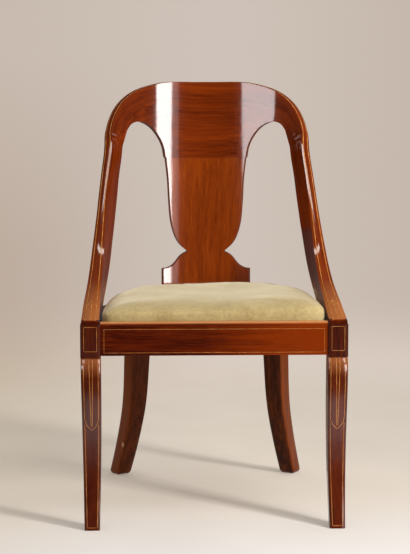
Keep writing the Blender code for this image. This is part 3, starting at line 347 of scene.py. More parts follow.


# Seat rails
# Four rails tenoned into the legs and rebated on top for the loose seat. The front one is straight with a
# rounded upper edge, painted darker to the left and paler to the right as painted shade and light, with a
# painted highlight along that edge. The side and back ones are sawn curved.

front_to_back = (0.0, 0.0, math.radians(-90))
rail_finish = polished("front_rail_mahogany", screen(60, 13, 2), screen(124, 44, 4), shift=(0.4, 0.8, 0.1),
                       # Painted shade to the left, painted light to the right, and a painted highlight along
                       # the upper edge.
                       fade=(ACROSS, -0.02, 0.26, -0.34, 1.2),
                       painted_sheen=(UP, 0.3885, 0.3925, 1.0, screen(198, 126, 68)))
WOOD.append(planed("front_seat_rail", rail_finish))
side_finish = polished("side_rail_mahogany", screen(60, 14, 3), screen(114, 40, 8),
                       turn=front_to_back, shift=(1.2, 0.3, 0.5))
back_finish = polished("back_rail_mahogany", screen(60, 16, 4), screen(112, 42, 11), shift=(2.6, 0.2, 0.9),
                       gloss=0.18)
for rail_side in ("left", "right"):
    WOOD.append(planed("side_seat_rail_" + rail_side, side_finish))
WOOD.append(planed("back_seat_rail", back_finish))


# Back: stiles, crest rail and splat
# The stiles are ribbons that sweep back and up from the leg blocks. They are glued end to end with the
# crest, then sanded and polished as one, so edge, grain and gloss run on across the joint. Crest and splat
# are bent to one curve, hollow to the sitter. The splat's grain runs up, so its joint is a level line.

STRING_SECTION = 0.0024
FOOT_RUN = 0.40
SWEEP_PIECES = ("crest_rail", "stile_left", "stile_right")
GLUE_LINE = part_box("stile_left")[1].z + 0.00015
GLUE_ROOM = 0.00035
EASED_REACH = 0.036
EASING_STROKES = 12
RUBBED_REACH = 0.036
RUBBED_ROUND = 0.014
BACK_RADIUS = 0.285
BACK_LEAN = math.tan(math.radians(5.5))
SPLAT_FACE_Y = 0.2059
SPLAT_THICKNESS = 0.015
CREST_THICKNESS = 0.018
ARCH_X = 0.143
RAIL_TOP = 0.388
ROUNDING_ROOM = 0.0008
CREST_DENTS = 0.0040
SPLAT_DENTS = 0.0018


def centre_line(node):
    """The middle line of a string: its places, and the pairs of them that follow each other."""
    shape = welded(node)
    shape.verts.index_update()
    section = list(range(len(shape.verts)))

    def head(i):
        while section[i] != i:
            i = section[i]
        return i

    for edge in shape.edges:
        if edge.calc_length() < STRING_SECTION:
            section[head(edge.verts[0].index)] = head(edge.verts[1].index)
    members = {}
    for point in shape.verts:
        members.setdefault(head(point.index), []).append(point.co.copy())
    order = {key: i for i, key in enumerate(members)}
    middles = [sum(points, Vector()) / len(points) for points in members.values()]
    pairs = {tuple(sorted(order[head(point.index)] for point in edge.verts)) for edge in shape.edges}
    shape.free()
    return middles, sorted(pair for pair in pairs if pair[0] != pair[1])


def sweep_of_back():
    """The outer string of the back in order from left foot to right foot, run on past both feet."""
    middles, pairs = centre_line("back_string_outer")
    beside = {}
    for a, b in pairs:
        beside.setdefault(a, []).append(b)
        beside.setdefault(b, []).append(a)
    ends = [i for i, others in beside.items() if len(others) == 1]
    walk = [min(ends, key=lambda i: middles[i].x)]
    while len(walk) < len(middles):
        walk += [i for i in beside[walk[-1]] if i not in walk][:1]
    line = [middles[i] for i in walk]
    before = line[0] + (line[0] - line[2]).normalized() * FOOT_RUN
    after = line[-1] + (line[-1] - line[-3]).normalized() * FOOT_RUN
    return [before] + line + [after]


SWEEP = sweep_of_back()


def follow_sweep(piece):
    """Gives each point of a piece its own grain place: the run along the sweep and the offsets from it."""
    runs = [0.0]
    for a, b in zip(SWEEP, SWEEP[1:]):
        runs.append(runs[-1] + (b - a).length)
    places = []
    for point in piece.data.vertices:
        best = None
        for k, (a, b) in enumerate(zip(SWEEP, SWEEP[1:])):
            share = min(1.0, max(0.0, (point.co - a).dot(b - a) / (b - a).length_squared))
            near = a.lerp(b, share)
            away = (point.co - near).length
            if best is None or away < best[0]:
                best = (away, runs[k] + share * (b - a).length, point.co - near, (b - a).normalized())
        away, run, offset, ahead = best
        deep = (Vector((0, 1, 0)) - ahead * ahead.y).normalized()
        places += [run, offset.dot(deep), offset.dot(ahead.cross(deep))]
    piece.data.attributes.new("flow", "FLOAT_VECTOR", "POINT").data.foreach_set("vector", places)


def glued(shape):
    """Opens the ends of crest and stiles at the glue lines and joins them point to point."""
    ends = {point for point in shape.verts
            if abs(point.co.z - GLUE_LINE) < GLUE_ROOM and abs(point.co.x) > ARCH_X}
    bmesh.ops.delete(shape, geom=[face for face in shape.faces if ends.issuperset(face.verts)],
                     context="FACES_ONLY")
    bmesh.ops.delete(shape, geom=[edge for edge in shape.edges if not edge.link_faces], context="EDGES")
    upper = [point for point in ends if point.co.z > GLUE_LINE]
    lower = [point for point in ends if point.co.z < GLUE_LINE]
    joins = {point: min(lower, key=lambda other: (other.co - point.co).length) for point in upper}
    for point, other in joins.items():
        other.co = (point.co + other.co) / 2
    bmesh.ops.weld_verts(shape, targetmap=joins)


def eased(shape):
    """Lets each stile run evenly into the crest over its last stretch."""
    stretch = {}
    for point in shape.verts:
        below = GLUE_LINE - point.co.z
        if GLUE_ROOM < below < EASED_REACH and abs(point.co.x) > ARCH_X:
            beside = sorted((edge.other_vert(point) for edge in point.link_edges),
                            key=lambda other: (other.co - point.co).normalized().z)
            stretch[point] = (beside[0], beside[-1], 0.5 * (1 - below / EASED_REACH))
    for stroke in range(EASING_STROKES):
        moved = {p: p.co.lerp((low.co + high.co) / 2, much) for p, (low, high, much) in stretch.items()}
        for point, place in moved.items():
            point.co = place


def parted(run, number, name):
    """One piece of the run, with its ends closed again."""
    shape = bmesh.new()
    shape.from_mesh(run.data)
    mark = shape.faces.layers.int["piece"]
    bmesh.ops.delete(shape, geom=[face for face in shape.faces if face[mark] != number], context="FACES")
    for side in (-1, 1):
        rim = [edge for edge in shape.edges if len(edge.link_faces) == 1 and edge.verts[0].co.x * side > 0]
        if rim:
            bmesh.ops.triangle_fill(shape, edges=rim, use_beauty=True, normal=(0, 0, 1))
    bmesh.ops.recalc_face_normals(shape, faces=shape.faces)
    mesh = mesh_of(shape, name)
    mesh.attributes.remove(mesh.attributes["piece"])
    return placed(name, mesh)


def trued(piece, thickness, dents):
    """Brings a bent piece's front and back onto the true curve of the back, and their gloss with them."""
    faces = [(BACK_RADIUS, -1), (BACK_RADIUS + thickness, 1)]
    facing = [point.normal.copy() for point in piece.data.vertices]

    def from_axis(spot):
        centre = SPLAT_FACE_Y + (spot.z - RAIL_TOP) * BACK_LEAN - BACK_RADIUS
        return Vector((spot.x, spot.y - centre, 0))

    for point, normal in zip(piece.data.vertices, facing):
        arm = from_axis(point.co)
        held = 1.0 if abs(arm.x) < ARCH_X else min(1.0, max(0.0, (point.co.z - GLUE_LINE) / EASED_REACH))
        for radius, way in faces:
            room = dents if normal.dot(arm) * way > 0.85 * arm.length else ROUNDING_ROOM
            if abs(arm.length - radius) < room:
                point.co += arm * ((radius / arm.length - 1) * held)
    piece.data.update()
    gloss = [Vector(corner.vector) for corner in piece.data.corner_normals]
    arms = [from_axis(point.co) for point in piece.data.vertices]
    for face in piece.data.polygons:
        level = face.normal.copy()
        for corner, point in zip(face.loop_indices, face.vertices):
            arm = arms[point]
            for radius, way in faces:
                if abs(arm.length - radius) < WELD_REACH and level.dot(arm) * way > 0.9 * arm.length:
                    gloss[corner] = (arm - Vector((0, 0, arm.y * BACK_LEAN))).normalized() * way
    piece.data.normals_split_custom_set(gloss)


def rubbed(pieces):
    """Evens the gloss across the glue lines, which were sanded and polished as one surface."""
    spots = []
    for piece in pieces:
        for face in piece.data.polygons:
            if abs(face.center.z - GLUE_LINE) < RUBBED_REACH + RUBBED_ROUND and abs(face.center.x) > ARCH_X:
                spots.append((face.center.copy(), face.normal.copy(), face.area))
    near = kdtree.KDTree(len(spots))
    for number, spot in enumerate(spots):
        near.insert(spot[0], number)
    near.balance()
    for piece in pieces:
        gloss = [Vector(corner.vector) for corner in piece.data.corner_normals]
        evened = {}
        for face in piece.data.polygons:
            much = 2 - 2 * abs(face.center.z - GLUE_LINE) / RUBBED_REACH
            if much <= 0 or abs(face.center.x) < ARCH_X:
                continue
            for corner, point in zip(face.loop_indices, face.vertices):
                key = (point, face.normal.to_tuple(1))
                if key not in evened:
                    evened[key] = Vector()
                    for centre, number, away in near.find_range(piece.data.vertices[point].co, RUBBED_ROUND):
                        normal, area = spots[number][1:]
                        if normal.dot(face.normal) > 0.8:
                            evened[key] += normal * area * (1 - away / RUBBED_ROUND)
                if evened[key].length > 0:
                    gloss[corner] = gloss[corner].lerp(evened[key].normalized(), min(1.0, much)).normalized()
        piece.data.normals_split_custom_set(gloss)


# The stiles' feet carry a painted shadow where they meet the blocks and a painted reflection just above it.
sweep_finish = polished("sweep_mahogany", screen(70, 19, 3), screen(140, 54, 8), flow=True, ease=0.0,
                        fade=(UP, 0.392, 0.398, -0.8, 0.0),
                        painted_sheen=(UP, 0.455, 0.41, 0.3975, screen(176, 102, 50)))
splat_finish = polished("splat_mahogany", screen(94, 32, 4), screen(154, 66, 12), turn=upright,
                        shift=(0.6, 0.0, 1.3), ease=0.0)
shape = welded(*SWEEP_PIECES)
piece_mark = shape.faces.layers.int.new("piece")
for face in shape.faces:
    middle = face.calc_center_median()
    of_crest = middle.z > GLUE_LINE or abs(middle.x) < ARCH_X
    face[piece_mark] = 0 if of_crest else 1 if middle.x < 0 else 2
glued(shape)
eased(shape)
whole_run = curved(shape, "back_run")
for number, sweep_name in enumerate(SWEEP_PIECES):
    sweep_piece = parted(whole_run, number, sweep_name + "_wood")
    follow_sweep(sweep_piece)
    WOOD.append(dressed(sweep_piece, sweep_name, sweep_finish))
    if sweep_name == "crest_rail":
        trued(sweep_piece, CREST_THICKNESS, CREST_DENTS)
rubbed(WOOD[-len(SWEEP_PIECES):])
bpy.data.objects.remove(whole_run)
WOOD.append(planed("splat", splat_finish))
trued(WOOD[-1], SPLAT_THICKNESS, SPLAT_DENTS)


# Boxwood stringing
# Pale lines of boxwood let flush into the mahogany: fine ones as a rectangle on the front rail and on each
# block and as lancet panels and borders on the legs, and wider ones round the edge of the back, with an
# arrow at the foot of each stile.

STRING_WIDTH = 0.0008
FRAMING_WIDTH = 0.0006
BACK_WIDTH = 0.0015
STRING_THICKNESS = 0.0006
STRING_PROUD = 0.00010
STRING_CUTS = 5


def geometry_tree(name, takes):
    """An empty geometry tree with named inputs: the tree, what it takes and what it gives."""
    tree = bpy.data.node_groups.new(name, "GeometryNodeTree")
    for label, kind in [("Geometry", "Geometry")] + takes:
        tree.interface.new_socket(label, in_out="INPUT", socket_type="NodeSocket" + kind)
    tree.interface.new_socket("Geometry", in_out="OUTPUT", socket_type="NodeSocketGeometry")
    return tree, tree.nodes.new("NodeGroupInput").outputs, tree.nodes.new("NodeGroupOutput").inputs


def made_real(tree, made, finish, give):
    """Ends a geometry tree: what it made becomes plain mesh in its finish."""
    real = put(tree, "GeometryNodeRealizeInstances", {0: made}).outputs[0]
    final = put(tree, "GeometryNodeSetMaterial", {"Geometry": real, "Material": finish}).outputs[0]
    tree.links.new(final, give["Geometry"])
    return tree


def grown(name, mesh, tree, values):
    """A piece whose plain mesh is what a geometry tree makes from a given mesh and named values."""
    piece = placed(name, mesh)
    step = piece.modifiers.new("tree", "NODES")
    step.node_group = tree
    for item in tree.interface.items_tree:
        if item.in_out == "INPUT" and item.name in values:
            step[item.identifier] = values[item.name]
    settle(piece)
    return piece


def line_mesh(node):
    """The middle line of a string as a mesh of edges."""
    middles, pairs = centre_line(node)
    line = bpy.data.meshes.new(node + "_line")
    line.from_pydata(middles, pairs, [])
    return line


def build_inlay_tree():
    """Lays a flat strip along a line, on the nearest face of the wood and turned to lie level with it."""
    tree, take, give = geometry_tree("inlaid_string", [
        ("Wood", "Object"), ("Width", "Float"), ("Thickness", "Float"), ("Proud", "Float"),
        ("Finish", "Material")])
    wood = put(tree, "GeometryNodeObjectInfo", {"Object": take["Wood"]}).outputs["Geometry"]
    path = put(tree, "GeometryNodeMeshToCurve", {"Mesh": take["Geometry"]}).outputs[0]
    path = put(tree, "GeometryNodeSubdivideCurve", {"Curve": path, "Cuts": STRING_CUTS}).outputs[0]
    place = put(tree, "GeometryNodeProximity", {0: wood}, target_element="FACES").outputs["Position"]
    facing = put(tree, "GeometryNodeSampleNearestSurface", {"Mesh": wood}, data_type="FLOAT_VECTOR")
    tree.links.new(put(tree, "GeometryNodeInputNormal").outputs[0], facing.inputs["Value"])
    outward = facing.outputs["Value"]
    sink = sums(tree, "SUBTRACT", take["Proud"], sums(tree, "MULTIPLY", take["Thickness"], 0.5))
    lift = put(tree, "ShaderNodeVectorMath", {0: outward, "Scale": sink}, operation="SCALE").outputs[0]
    turned = put(tree, "GeometryNodeSetCurveNormal", {"Curve": path, "Normal": outward},
                 mode="FREE").outputs[0]
    laid = put(tree, "GeometryNodeSetPosition",
               {"Geometry": turned, "Position": vectors(tree, "ADD", place, lift)}).outputs[0]
    strip = put(tree, "GeometryNodeCurvePrimitiveQuadrilateral",
                {"Width": take["Thickness"], "Height": take["Width"]}).outputs[0]
    made = put(tree, "GeometryNodeCurveToMesh", {"Curve": laid, "Profile Curve": strip, "Fill Caps": True})
    return made_real(tree, made.outputs[0], take["Finish"], give)


def boxwood():
    """Boxwood under the polish: a fine pale grain toned to amber."""
    material, tree, shader = new_finish("boxwood_string")
    patches = clouds(tree, put(tree, "ShaderNodeTexCoord").outputs["Object"], 60.0, 4.0)
    tone = spread(tree, patches, 0.35, 0.65)
    feed(shader, {"Base Color": mixed(tree, tone, screen(174, 104, 42), screen(214, 146, 70)),
                  "Roughness": spread(tree, patches, 0.3, 0.7, 0.16, 0.30)})
    return material


def joined_wood():
    """One mesh of all the polished pieces, which the strings are laid on."""
    shape = bmesh.new()
    for piece in WOOD:
        shape.from_mesh(piece.data)
    return placed("all_wood", mesh_of(shape, "all_wood"))


STRINGS = ["front_rail_string", "back_string_inner", "back_string_outer"]
for string_side in ("left", "right"):
    STRINGS += [kind + string_side for kind in (
        "block_string_", "leg_lancet_string_", "leg_dagger_inner_string_", "leg_dagger_outer_string_",
        "leg_border_string_", "stile_foot_string_", "stile_arrow_string_")]
string_finish = boxwood()
inlay = build_inlay_tree()
bed = joined_wood()
for string in STRINGS:
    width = STRING_WIDTH
    if string.startswith(("front_rail", "block")):
        width = FRAMING_WIDTH
    elif string.startswith(("back", "stile")):
        width = BACK_WIDTH
    strip = grown(string + "_inlay", line_mesh(string), inlay, {
        "Wood": bed, "Width": width, "Thickness": STRING_THICKNESS, "Proud": STRING_PROUD,
        "Finish": string_finish})
    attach(strip, "frame")
    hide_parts(string)
bpy.data.objects.remove(bed)


# Dowels, braces and seat frame
# Beech, left bare from the saw: dowels in the stile joints, braces across the corners of the rails, and
# the four halved members of the loose seat.

def relief(tree, height, strength, depth):
    """The fine relief of a surface, from the height of each point."""
    return put(tree, "ShaderNodeBump", {"Height": height, "Strength": strength,
                                        "Distance": depth}).outputs[0]


def bare_beech():
    """Bare beech: pale, with fine lines and the short dark flecks of its rays."""
    material, tree, shader = new_finish("bare_beech")
    place = put(tree, "ShaderNodeTexCoord").outputs["Object"]
    lines = streaks(tree, place, 9.0, 120.0, 4.0)
    flecks = spread(tree, streaks(tree, place, 260.0, 1500.0, 1.0), 0.64, 0.72)
    ground = mixed(tree, spread(tree, lines, 0.32, 0.68), screen(164, 122, 80), screen(206, 168, 122))
    colour = mixed(tree, sums(tree, "MULTIPLY", flecks, 0.6), ground, screen(126, 84, 50))
    feed(shader, {"Base Color": colour, "Roughness": spread(tree, lines, 0.3, 0.7, 0.52, 0.70),
                  "Normal": relief(tree, lines, 0.3, 0.0004)})
    return material


beech = bare_beech()
for name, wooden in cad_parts.items():
    if "dowel" in name or "brace" in name and "screw" not in name or name.startswith("seat_frame"):
        wooden.data.materials.clear()
        wooden.data.materials.append(beech)


# Wood screws
# Steel screws with slotted countersunk heads, turned through the braces into the rails.

SCREW_HEAD = 0.0040
SCREW_SHANK = 0.0020
SCREW_LONG = 0.026
SCREW_SIDES = 24
SLOT_WIDE = 0.0009
SLOT_DEEP = 0.0010
HEAD_REACH = 0.0012
TURN_STEP = 2.4


def ringed(shape, loops):
    """Closes the bands between rings of points that follow each other."""
    for first, second in zip(loops, loops[1:]):
        for i in range(len(first)):
            shape.faces.new((first[i - 1], second[i - 1], second[i], first[i]))


def turned_mesh(name, rings, sides):
    """A closed shape turned about Z, from the heights and radii of its rings."""
    shape = bmesh.new()
    turns = [2 * math.pi * i / sides for i in range(sides)]
    loops = [[shape.verts.new((radius * math.cos(a), radius * math.sin(a), height)) for a in turns]
             for height, radius in rings]
    ringed(shape, loops)
    shape.faces.new(list(reversed(loops[0])))
    shape.faces.new(loops[-1])
    bmesh.ops.recalc_face_normals(shape, faces=shape.faces)
    return mesh_of(shape, name)


def slotted_screw():
    """One screw with its head at the origin and its point along +Z, and a driver's slot across its head."""
    rings = [(0.0, SCREW_HEAD), (0.0004, SCREW_HEAD), (0.0024, SCREW_SHANK)]
    rings += [(0.0090 + 0.0012 * k, SCREW_SHANK * (0.98 if k % 2 else 0.78)) for k in range(13)]
    rings += [(SCREW_LONG, SCREW_SHANK * 0.15)]
    whole = placed("screw_model", turned_mesh("screw", rings, SCREW_SIDES))
    shape = bmesh.new()
    bmesh.ops.create_cube(shape, size=1.0)
    bmesh.ops.scale(shape, vec=(3 * SCREW_HEAD, SLOT_WIDE, 2 * SLOT_DEEP), verts=shape.verts)
    slot = placed("slot", mesh_of(shape, "slot"))
    cut = whole.modifiers.new("slot", "BOOLEAN")
    cut.operation = "DIFFERENCE"
    cut.object = slot
    settle(whole)
    bpy.data.objects.remove(slot)
    whole.data.shade_smooth()
    whole.data.set_sharp_from_angle(angle=math.radians(40))
    return whole


def build_set_tree():
    """Sets one model on each point, with its Z along the point's aim and turned by the point's own angle."""
    tree, take, give = geometry_tree("set_on_points", [("Model", "Object"), ("Finish", "Material")])
    model = put(tree, "GeometryNodeObjectInfo", {"Object": take["Model"]}).outputs["Geometry"]
    aim = put(tree, "GeometryNodeInputNamedAttribute", {"Name": "aim"}, data_type="FLOAT_VECTOR").outputs[0]
    angle = put(tree, "GeometryNodeInputNamedAttribute", {"Name": "angle"}, data_type="FLOAT").outputs[0]
    aimed = put(tree, "FunctionNodeAlignRotationToVector", {"Vector": aim}, axis="Z").outputs[0]
    about = put(tree, "ShaderNodeCombineXYZ", {"Z": angle}).outputs[0]
    turned = put(tree, "FunctionNodeRotateRotation", {0: aimed, 1: about}, rotation_space="LOCAL").outputs[0]
    points = put(tree, "GeometryNodeMeshToPoints", {"Mesh": take["Geometry"]}).outputs[0]
    made = put(tree, "GeometryNodeInstanceOnPoints",
               {"Points": points, "Instance": model, "Rotation": turned})
    return made_real(tree, made.outputs[0], take["Finish"], give)


def aimed_points(name, places):
    """A mesh of bare points, each with the way it aims and its own turn."""
    mesh = bpy.data.meshes.new(name)
    mesh.from_pydata([place for place, aim in places], [], [])
    aims = [value for place, aim in places for value in aim]
    mesh.attributes.new("aim", "FLOAT_VECTOR", "POINT").data.foreach_set("vector", aims)
    turns = [(TURN_STEP * i) % math.pi for i in range(len(places))]
    mesh.attributes.new("angle", "FLOAT", "POINT").data.foreach_set("value", turns)
    return mesh


def dull_steel():
    """Old steel: grey, brushed by the driver and brown in its hollows."""
    material, tree, shader = new_finish("dull_steel")
    spots = clouds(tree, put(tree, "ShaderNodeTexCoord").outputs["Object"], 900.0, 3.0)
    rust = spread(tree, spots, 0.52, 0.66)
    feed(shader, {"Base Color": mixed(tree, rust, screen(168, 164, 158), screen(104, 78, 58)),
                  "Metallic": spread(tree, rust, 0.0, 1.0, 1.0, 0.35),
                  "Roughness": spread(tree, spots, 0.3, 0.7, 0.30, 0.55)})
    return material


def screw_places():
    """Head and aim of each screw, read from its solid: the head is the end with the wider ring."""
    found = []
    for name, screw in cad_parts.items():
        if "screw" not in name:
            continue
        points = [point.co.copy() for point in screw.data.vertices]
        middle = sum(points, Vector()) / len(points)
        far = max(points, key=lambda p: (p - middle).length)
        other = max(points, key=lambda p: (p - far).length)
        ends = []
        for end, opposite in ((far, other), (other, far)):
            way = (opposite - end).normalized()
            near = [p for p in points if (p - end).dot(way) < HEAD_REACH]
            centre = sum(near, Vector()) / len(near)
            ends.append((max((p - centre).length for p in near), centre))
        (wide, head), (narrow, tip) = sorted(ends, key=lambda e: -e[0])
        found.append((name, head, (tip - head).normalized()))
    return found


set_on_points = build_set_tree()
screw_model = slotted_screw()
heads = screw_places()
screws = grown("brace_screws", aimed_points("screw_points", [(place, aim) for name, place, aim in heads]),
               set_on_points, {"Model": screw_model, "Finish": dull_steel()})
bpy.data.objects.remove(screw_model)
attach(screws, "frame")
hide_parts(*[name for name, place, aim in heads])


# Webbing
# Jute straps strained over the seat frame and woven over and under each other, with a dark stripe woven in
# near each edge. Each is a flat strip that bends gently where it crosses another.

WEB_THICK = 0.0014
WEB_STEPS = 90
WEB_ACROSS = 8
WEB_EASE = 0.016


def jute():
    """Jute webbing: coarse herringbone threads in tan, and two dark stripes, on the strap's own map."""
    material, tree, shader = new_finish("jute_strap")
    spot = put(tree, "ShaderNodeUVMap", uv_map="strap").outputs[0]
    across, along = put(tree, "ShaderNodeSeparateXYZ", {0: spot}).outputs[:2]
    bent = sums(tree, "PINGPONG", sums(tree, "MULTIPLY", across, 125.0), 1.0)
    slant = weighed(tree, (along, 900.0), (bent, 5.0))
    threads = put(tree, "ShaderNodeMath", {0: slant}, operation="SINE").outputs[0]
    rough = clouds(tree, spot, 420.0, 3.0)
    tone = sums(tree, "ADD", spread(tree, threads, -1.0, 1.0, 0.0, 0.6), sums(tree, "MULTIPLY", rough, 0.4))
    tan = mixed(tree, tone, screen(112, 84, 52), screen(188, 154, 108))
    aside = sums(tree, "SUBTRACT", across, 0.5)
    edge = put(tree, "ShaderNodeMath", {0: aside}, operation="ABSOLUTE").outputs[0]
    stripe = put(tree, "ShaderNodeMath", {0: edge, 1: 0.36, 2: 0.03}, operation="COMPARE").outputs[0]
    feed(shader, {"Base Color": mixed(tree, sums(tree, "MULTIPLY", stripe, 0.8), tan, screen(58, 36, 28)),
                  "Roughness": 0.92, "Normal": relief(tree, tone, 0.6, 0.0006)})
    return material


def strap(node, long_way, level_at, material):
    """One strap along X or Y, as a closed strip that follows its own rise and fall."""
    low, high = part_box(node)
    run, wide = (1, 0) if long_way else (0, 1)
    shape = bmesh.new()
    map_layer = shape.loops.layers.uv.new("strap")
    rows = []
    for i in range(WEB_STEPS + 1):
        place = low[run] + (high[run] - low[run]) * i / WEB_STEPS
        row = []
        for face in (0, 1):
            for j in range(WEB_ACROSS + 1):
                spot = [0.0, 0.0, level_at(place) + face * WEB_THICK]
                spot[run] = place
                spot[wide] = low[wide] + (high[wide] - low[wide]) * j / WEB_ACROSS
                row.append((shape.verts.new(spot), j / WEB_ACROSS, place))
        rows.append(row)
    width = WEB_ACROSS + 1
    ring = list(range(width)) + list(range(2 * width - 1, width - 1, -1))

    def face(corners):
        made = shape.faces.new([corner[0] for corner in corners])
        for loop, corner in zip(made.loops, corners):
            loop[map_layer].uv = corner[1:]

    for near, far in zip(rows, rows[1:]):
        for k, m in zip(ring, ring[1:] + ring[:1]):
            face((near[k], near[m], far[m], far[k]))
    for row in (rows[0], rows[-1]):
        for j in range(WEB_ACROSS):
            face((row[j], row[j + 1], row[width + j + 1], row[width + j]))
    bmesh.ops.recalc_face_normals(shape, faces=shape.faces)
    piece = placed(node + "_strap", mesh_of(shape, node + "_strap"))
    piece.data.shade_smooth()
    piece.data.set_sharp_from_angle(angle=math.radians(50))
    piece.data.materials.append(material)
    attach(piece, "seat")
    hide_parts(node)


def rise_and_fall(node, crossings, over_first, rise, reach):
    """How high a strap lies at a place along it, level on each crossing and eased in between."""
    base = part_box(node)[0].z

    def level_at(place):
        lift = 0.0
        for k, crossing in enumerate(crossings):
            if (k % 2 == 0) == over_first:
                away = max(abs(place - crossing) - reach, 0.0) / WEB_EASE
                lift = max(lift, 0.5 + 0.5 * math.cos(math.pi * min(away, 1.0)))
        return base + rise * lift

    return level_at


columns = ("left", "middle", "right")
rows_of_web = ("front", "middle", "back")
centre_x = [sum(corner.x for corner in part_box("webbing_long_" + label)) / 2 for label in columns]
centre_y = [sum(corner.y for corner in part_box("webbing_cross_" + label)) / 2 for label in rows_of_web]
web_low, web_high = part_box("webbing_long_left")
web_half = (web_high.x - web_low.x) / 2
web_rise = web_high.z - web_low.z - WEB_THICK
jute_finish = jute()
for i, label in enumerate(columns):
    node = "webbing_long_" + label
    strap(node, True, rise_and_fall(node, centre_y, i % 2 == 0, web_rise, web_half), jute_finish)
for i, label in enumerate(rows_of_web):
    node = "webbing_cross_" + label
    strap(node, False, rise_and_fall(node, centre_x, i % 2 == 1, web_rise, web_half), jute_finish)


# Hessian
# A sheet of plain-woven hessian strained over the webbing and tacked to the frame, which keeps the hair
# of the pad from working through.

HESSIAN_THICK = 0.0008
HESSIAN_RINGS = 44
HESSIAN_AROUND = 96
YARNS = 2900.0


def towards(angle):
    """The direction in plan at an angle."""
    return Vector((math.cos(angle), math.sin(angle)))


def outline_of(node, height):
    """Plan outline of a solid at one of its levels, in order round its middle."""
    points = {(round(p.co.x, 5), round(p.co.y, 5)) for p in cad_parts[node].data.vertices
              if abs(p.co.z - height) < 1e-4}
    low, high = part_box(node)
    middle = Vector(((low.x + high.x) / 2, (low.y + high.y) / 2))
    return middle, sorted((Vector(p) for p in points), key=lambda p: math.atan2(*(p - middle).yx))


def reach_to(outline, middle, angle):
    """How far an outline lies from its middle in one direction."""
    way = towards(angle)
    side = Vector((-way.y, way.x))
    for a, b in zip(outline, outline[1:] + outline[:1]):
        first, second = (a - middle).dot(side), (b - middle).dot(side)
        if first <= 0 < second:
            return (a + (b - a) * (first / (first - second)) - middle).dot(way)
    return max((p - middle).dot(way) for p in outline)


def hessian_cloth():
    """Plain weave of thick and thin yarns, with small gaps between them."""
    material, tree, shader = new_finish("hessian_cloth")
    place = put(tree, "ShaderNodeTexCoord").outputs["Object"]
    axes = put(tree, "ShaderNodeSeparateXYZ", {0: place})
    waves = []
    for axis in (0, 1):
        count = sums(tree, "MULTIPLY", axes.outputs[axis], YARNS)
        waves.append(put(tree, "ShaderNodeMath", {0: count}, operation="SINE").outputs[0])
    weave = sums(tree, "MULTIPLY", waves[0], waves[1])
    slub = streaks(tree, place, 40.0, 500.0, 2.0)
    tone = sums(tree, "ADD", spread(tree, weave, -1.0, 1.0, 0.0, 0.55), sums(tree, "MULTIPLY", slub, 0.45))
    feed(shader, {"Base Color": mixed(tree, tone, screen(116, 90, 54), screen(196, 166, 120)),
                  "Roughness": 0.95, "Normal": relief(tree, weave, 0.5, 0.0005)})
    return material


hessian_low, hessian_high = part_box("hessian")
hessian_middle, hessian_edge = outline_of("hessian", hessian_low.z)
shape = bmesh.new()
sheet_rings = []
for k in range(1, HESSIAN_RINGS + 1):
    ring = []
    for i in range(HESSIAN_AROUND):
        angle = 2 * math.pi * i / HESSIAN_AROUND
        reach = reach_to(hessian_edge, hessian_middle, angle) * k / HESSIAN_RINGS
        spot = hessian_middle + towards(angle) * reach
        ring.append(shape.verts.new((spot.x, spot.y, hessian_low.z)))
    sheet_rings.append(ring)
hub = shape.verts.new((hessian_middle.x, hessian_middle.y, hessian_low.z))
for i in range(HESSIAN_AROUND):
    shape.faces.new((hub, sheet_rings[0][i - 1], sheet_rings[0][i]))
ringed(shape, sheet_rings)
bmesh.ops.recalc_face_normals(shape, faces=shape.faces)
hessian_area = sum(face.calc_area() for face in shape.faces)
hessian = placed("hessian_sheet", mesh_of(shape, "hessian_sheet"))
thicken = hessian.modifiers.new("cloth", "SOLIDIFY")
thicken.thickness = HESSIAN_THICK
thicken.offset = 1.0
settle(hessian)
hessian.data.materials.append(hessian_cloth())
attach(hessian, "seat")
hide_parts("hessian")


# Seat cushion
# Curled hair under a cotton velvet cover that is drawn over the pad and the edges of the frame and tacked
# underneath. The pad is full, so the velvet swells into a soft crown between the rails.

COVER_THICK = 0.0012
PAD_INSET = COVER_THICK + 0.0003
CROWN = 0.0230
ROLL = 0.0175
SIDE_SQUARENESS = 11.0
FRONT_SQUARENESS = 5.0
PLAN_POWER = 3.2
CORNER_TURN = 0.045
AROUND = 168
CROWN_RINGS = 24
SIDE_RINGS = 8
RETURN_SHARES = (0.98, 0.96, 0.94, 0.92, 0.90)
TACKED_RISE = 0.003
SWELL_STEPS = 20
SWELL_TOP = 0.0018
SWELL_SIDE = 0.0010
LUMP = 0.0022
LUMPS_PER_METRE = 9
LUMP_LAYER = 4.2
LEAN = 0.018
SOFT_RISE = 0.006
SOFT_FADE = 0.02

cover_low, cover_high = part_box("seat_cover")
pad_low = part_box("seat_pad")[0].z
seat_middle, pad_edge = outline_of("seat_pad", pad_low)


def cover_edge(angle):
    """Reach of the cover's side in one direction, with the corners of its plan rounded off."""
    reaches = [reach_to(pad_edge, seat_middle, angle + CORNER_TURN * k) for k in (-2, -1, 0, 1, 2)]
    return min(reaches[2], 0.6 * reaches[2] + 0.4 * sum(reaches) / 5) + PAD_INSET


def round_reach(angle):
    """Reach of the soft rounded plan that the crown takes towards its middle."""
    half_x = (cover_high.x - cover_low.x) / 2
    half_y = (cover_high.y - cover_low.y) / 2
    across = abs(math.cos(angle) / half_x) ** PLAN_POWER
    deep = abs(math.sin(angle) / half_y) ** PLAN_POWER
    return (across + deep) ** (-1 / PLAN_POWER)


def crown_share(share, angle):
    """How much of the crown's rise is left on the way out: full to the sides, rounder to the front."""
    square = FRONT_SQUARENESS + (SIDE_SQUARENESS - FRONT_SQUARENESS) * math.cos(angle) ** 2
    return math.sqrt(1 - share ** square)


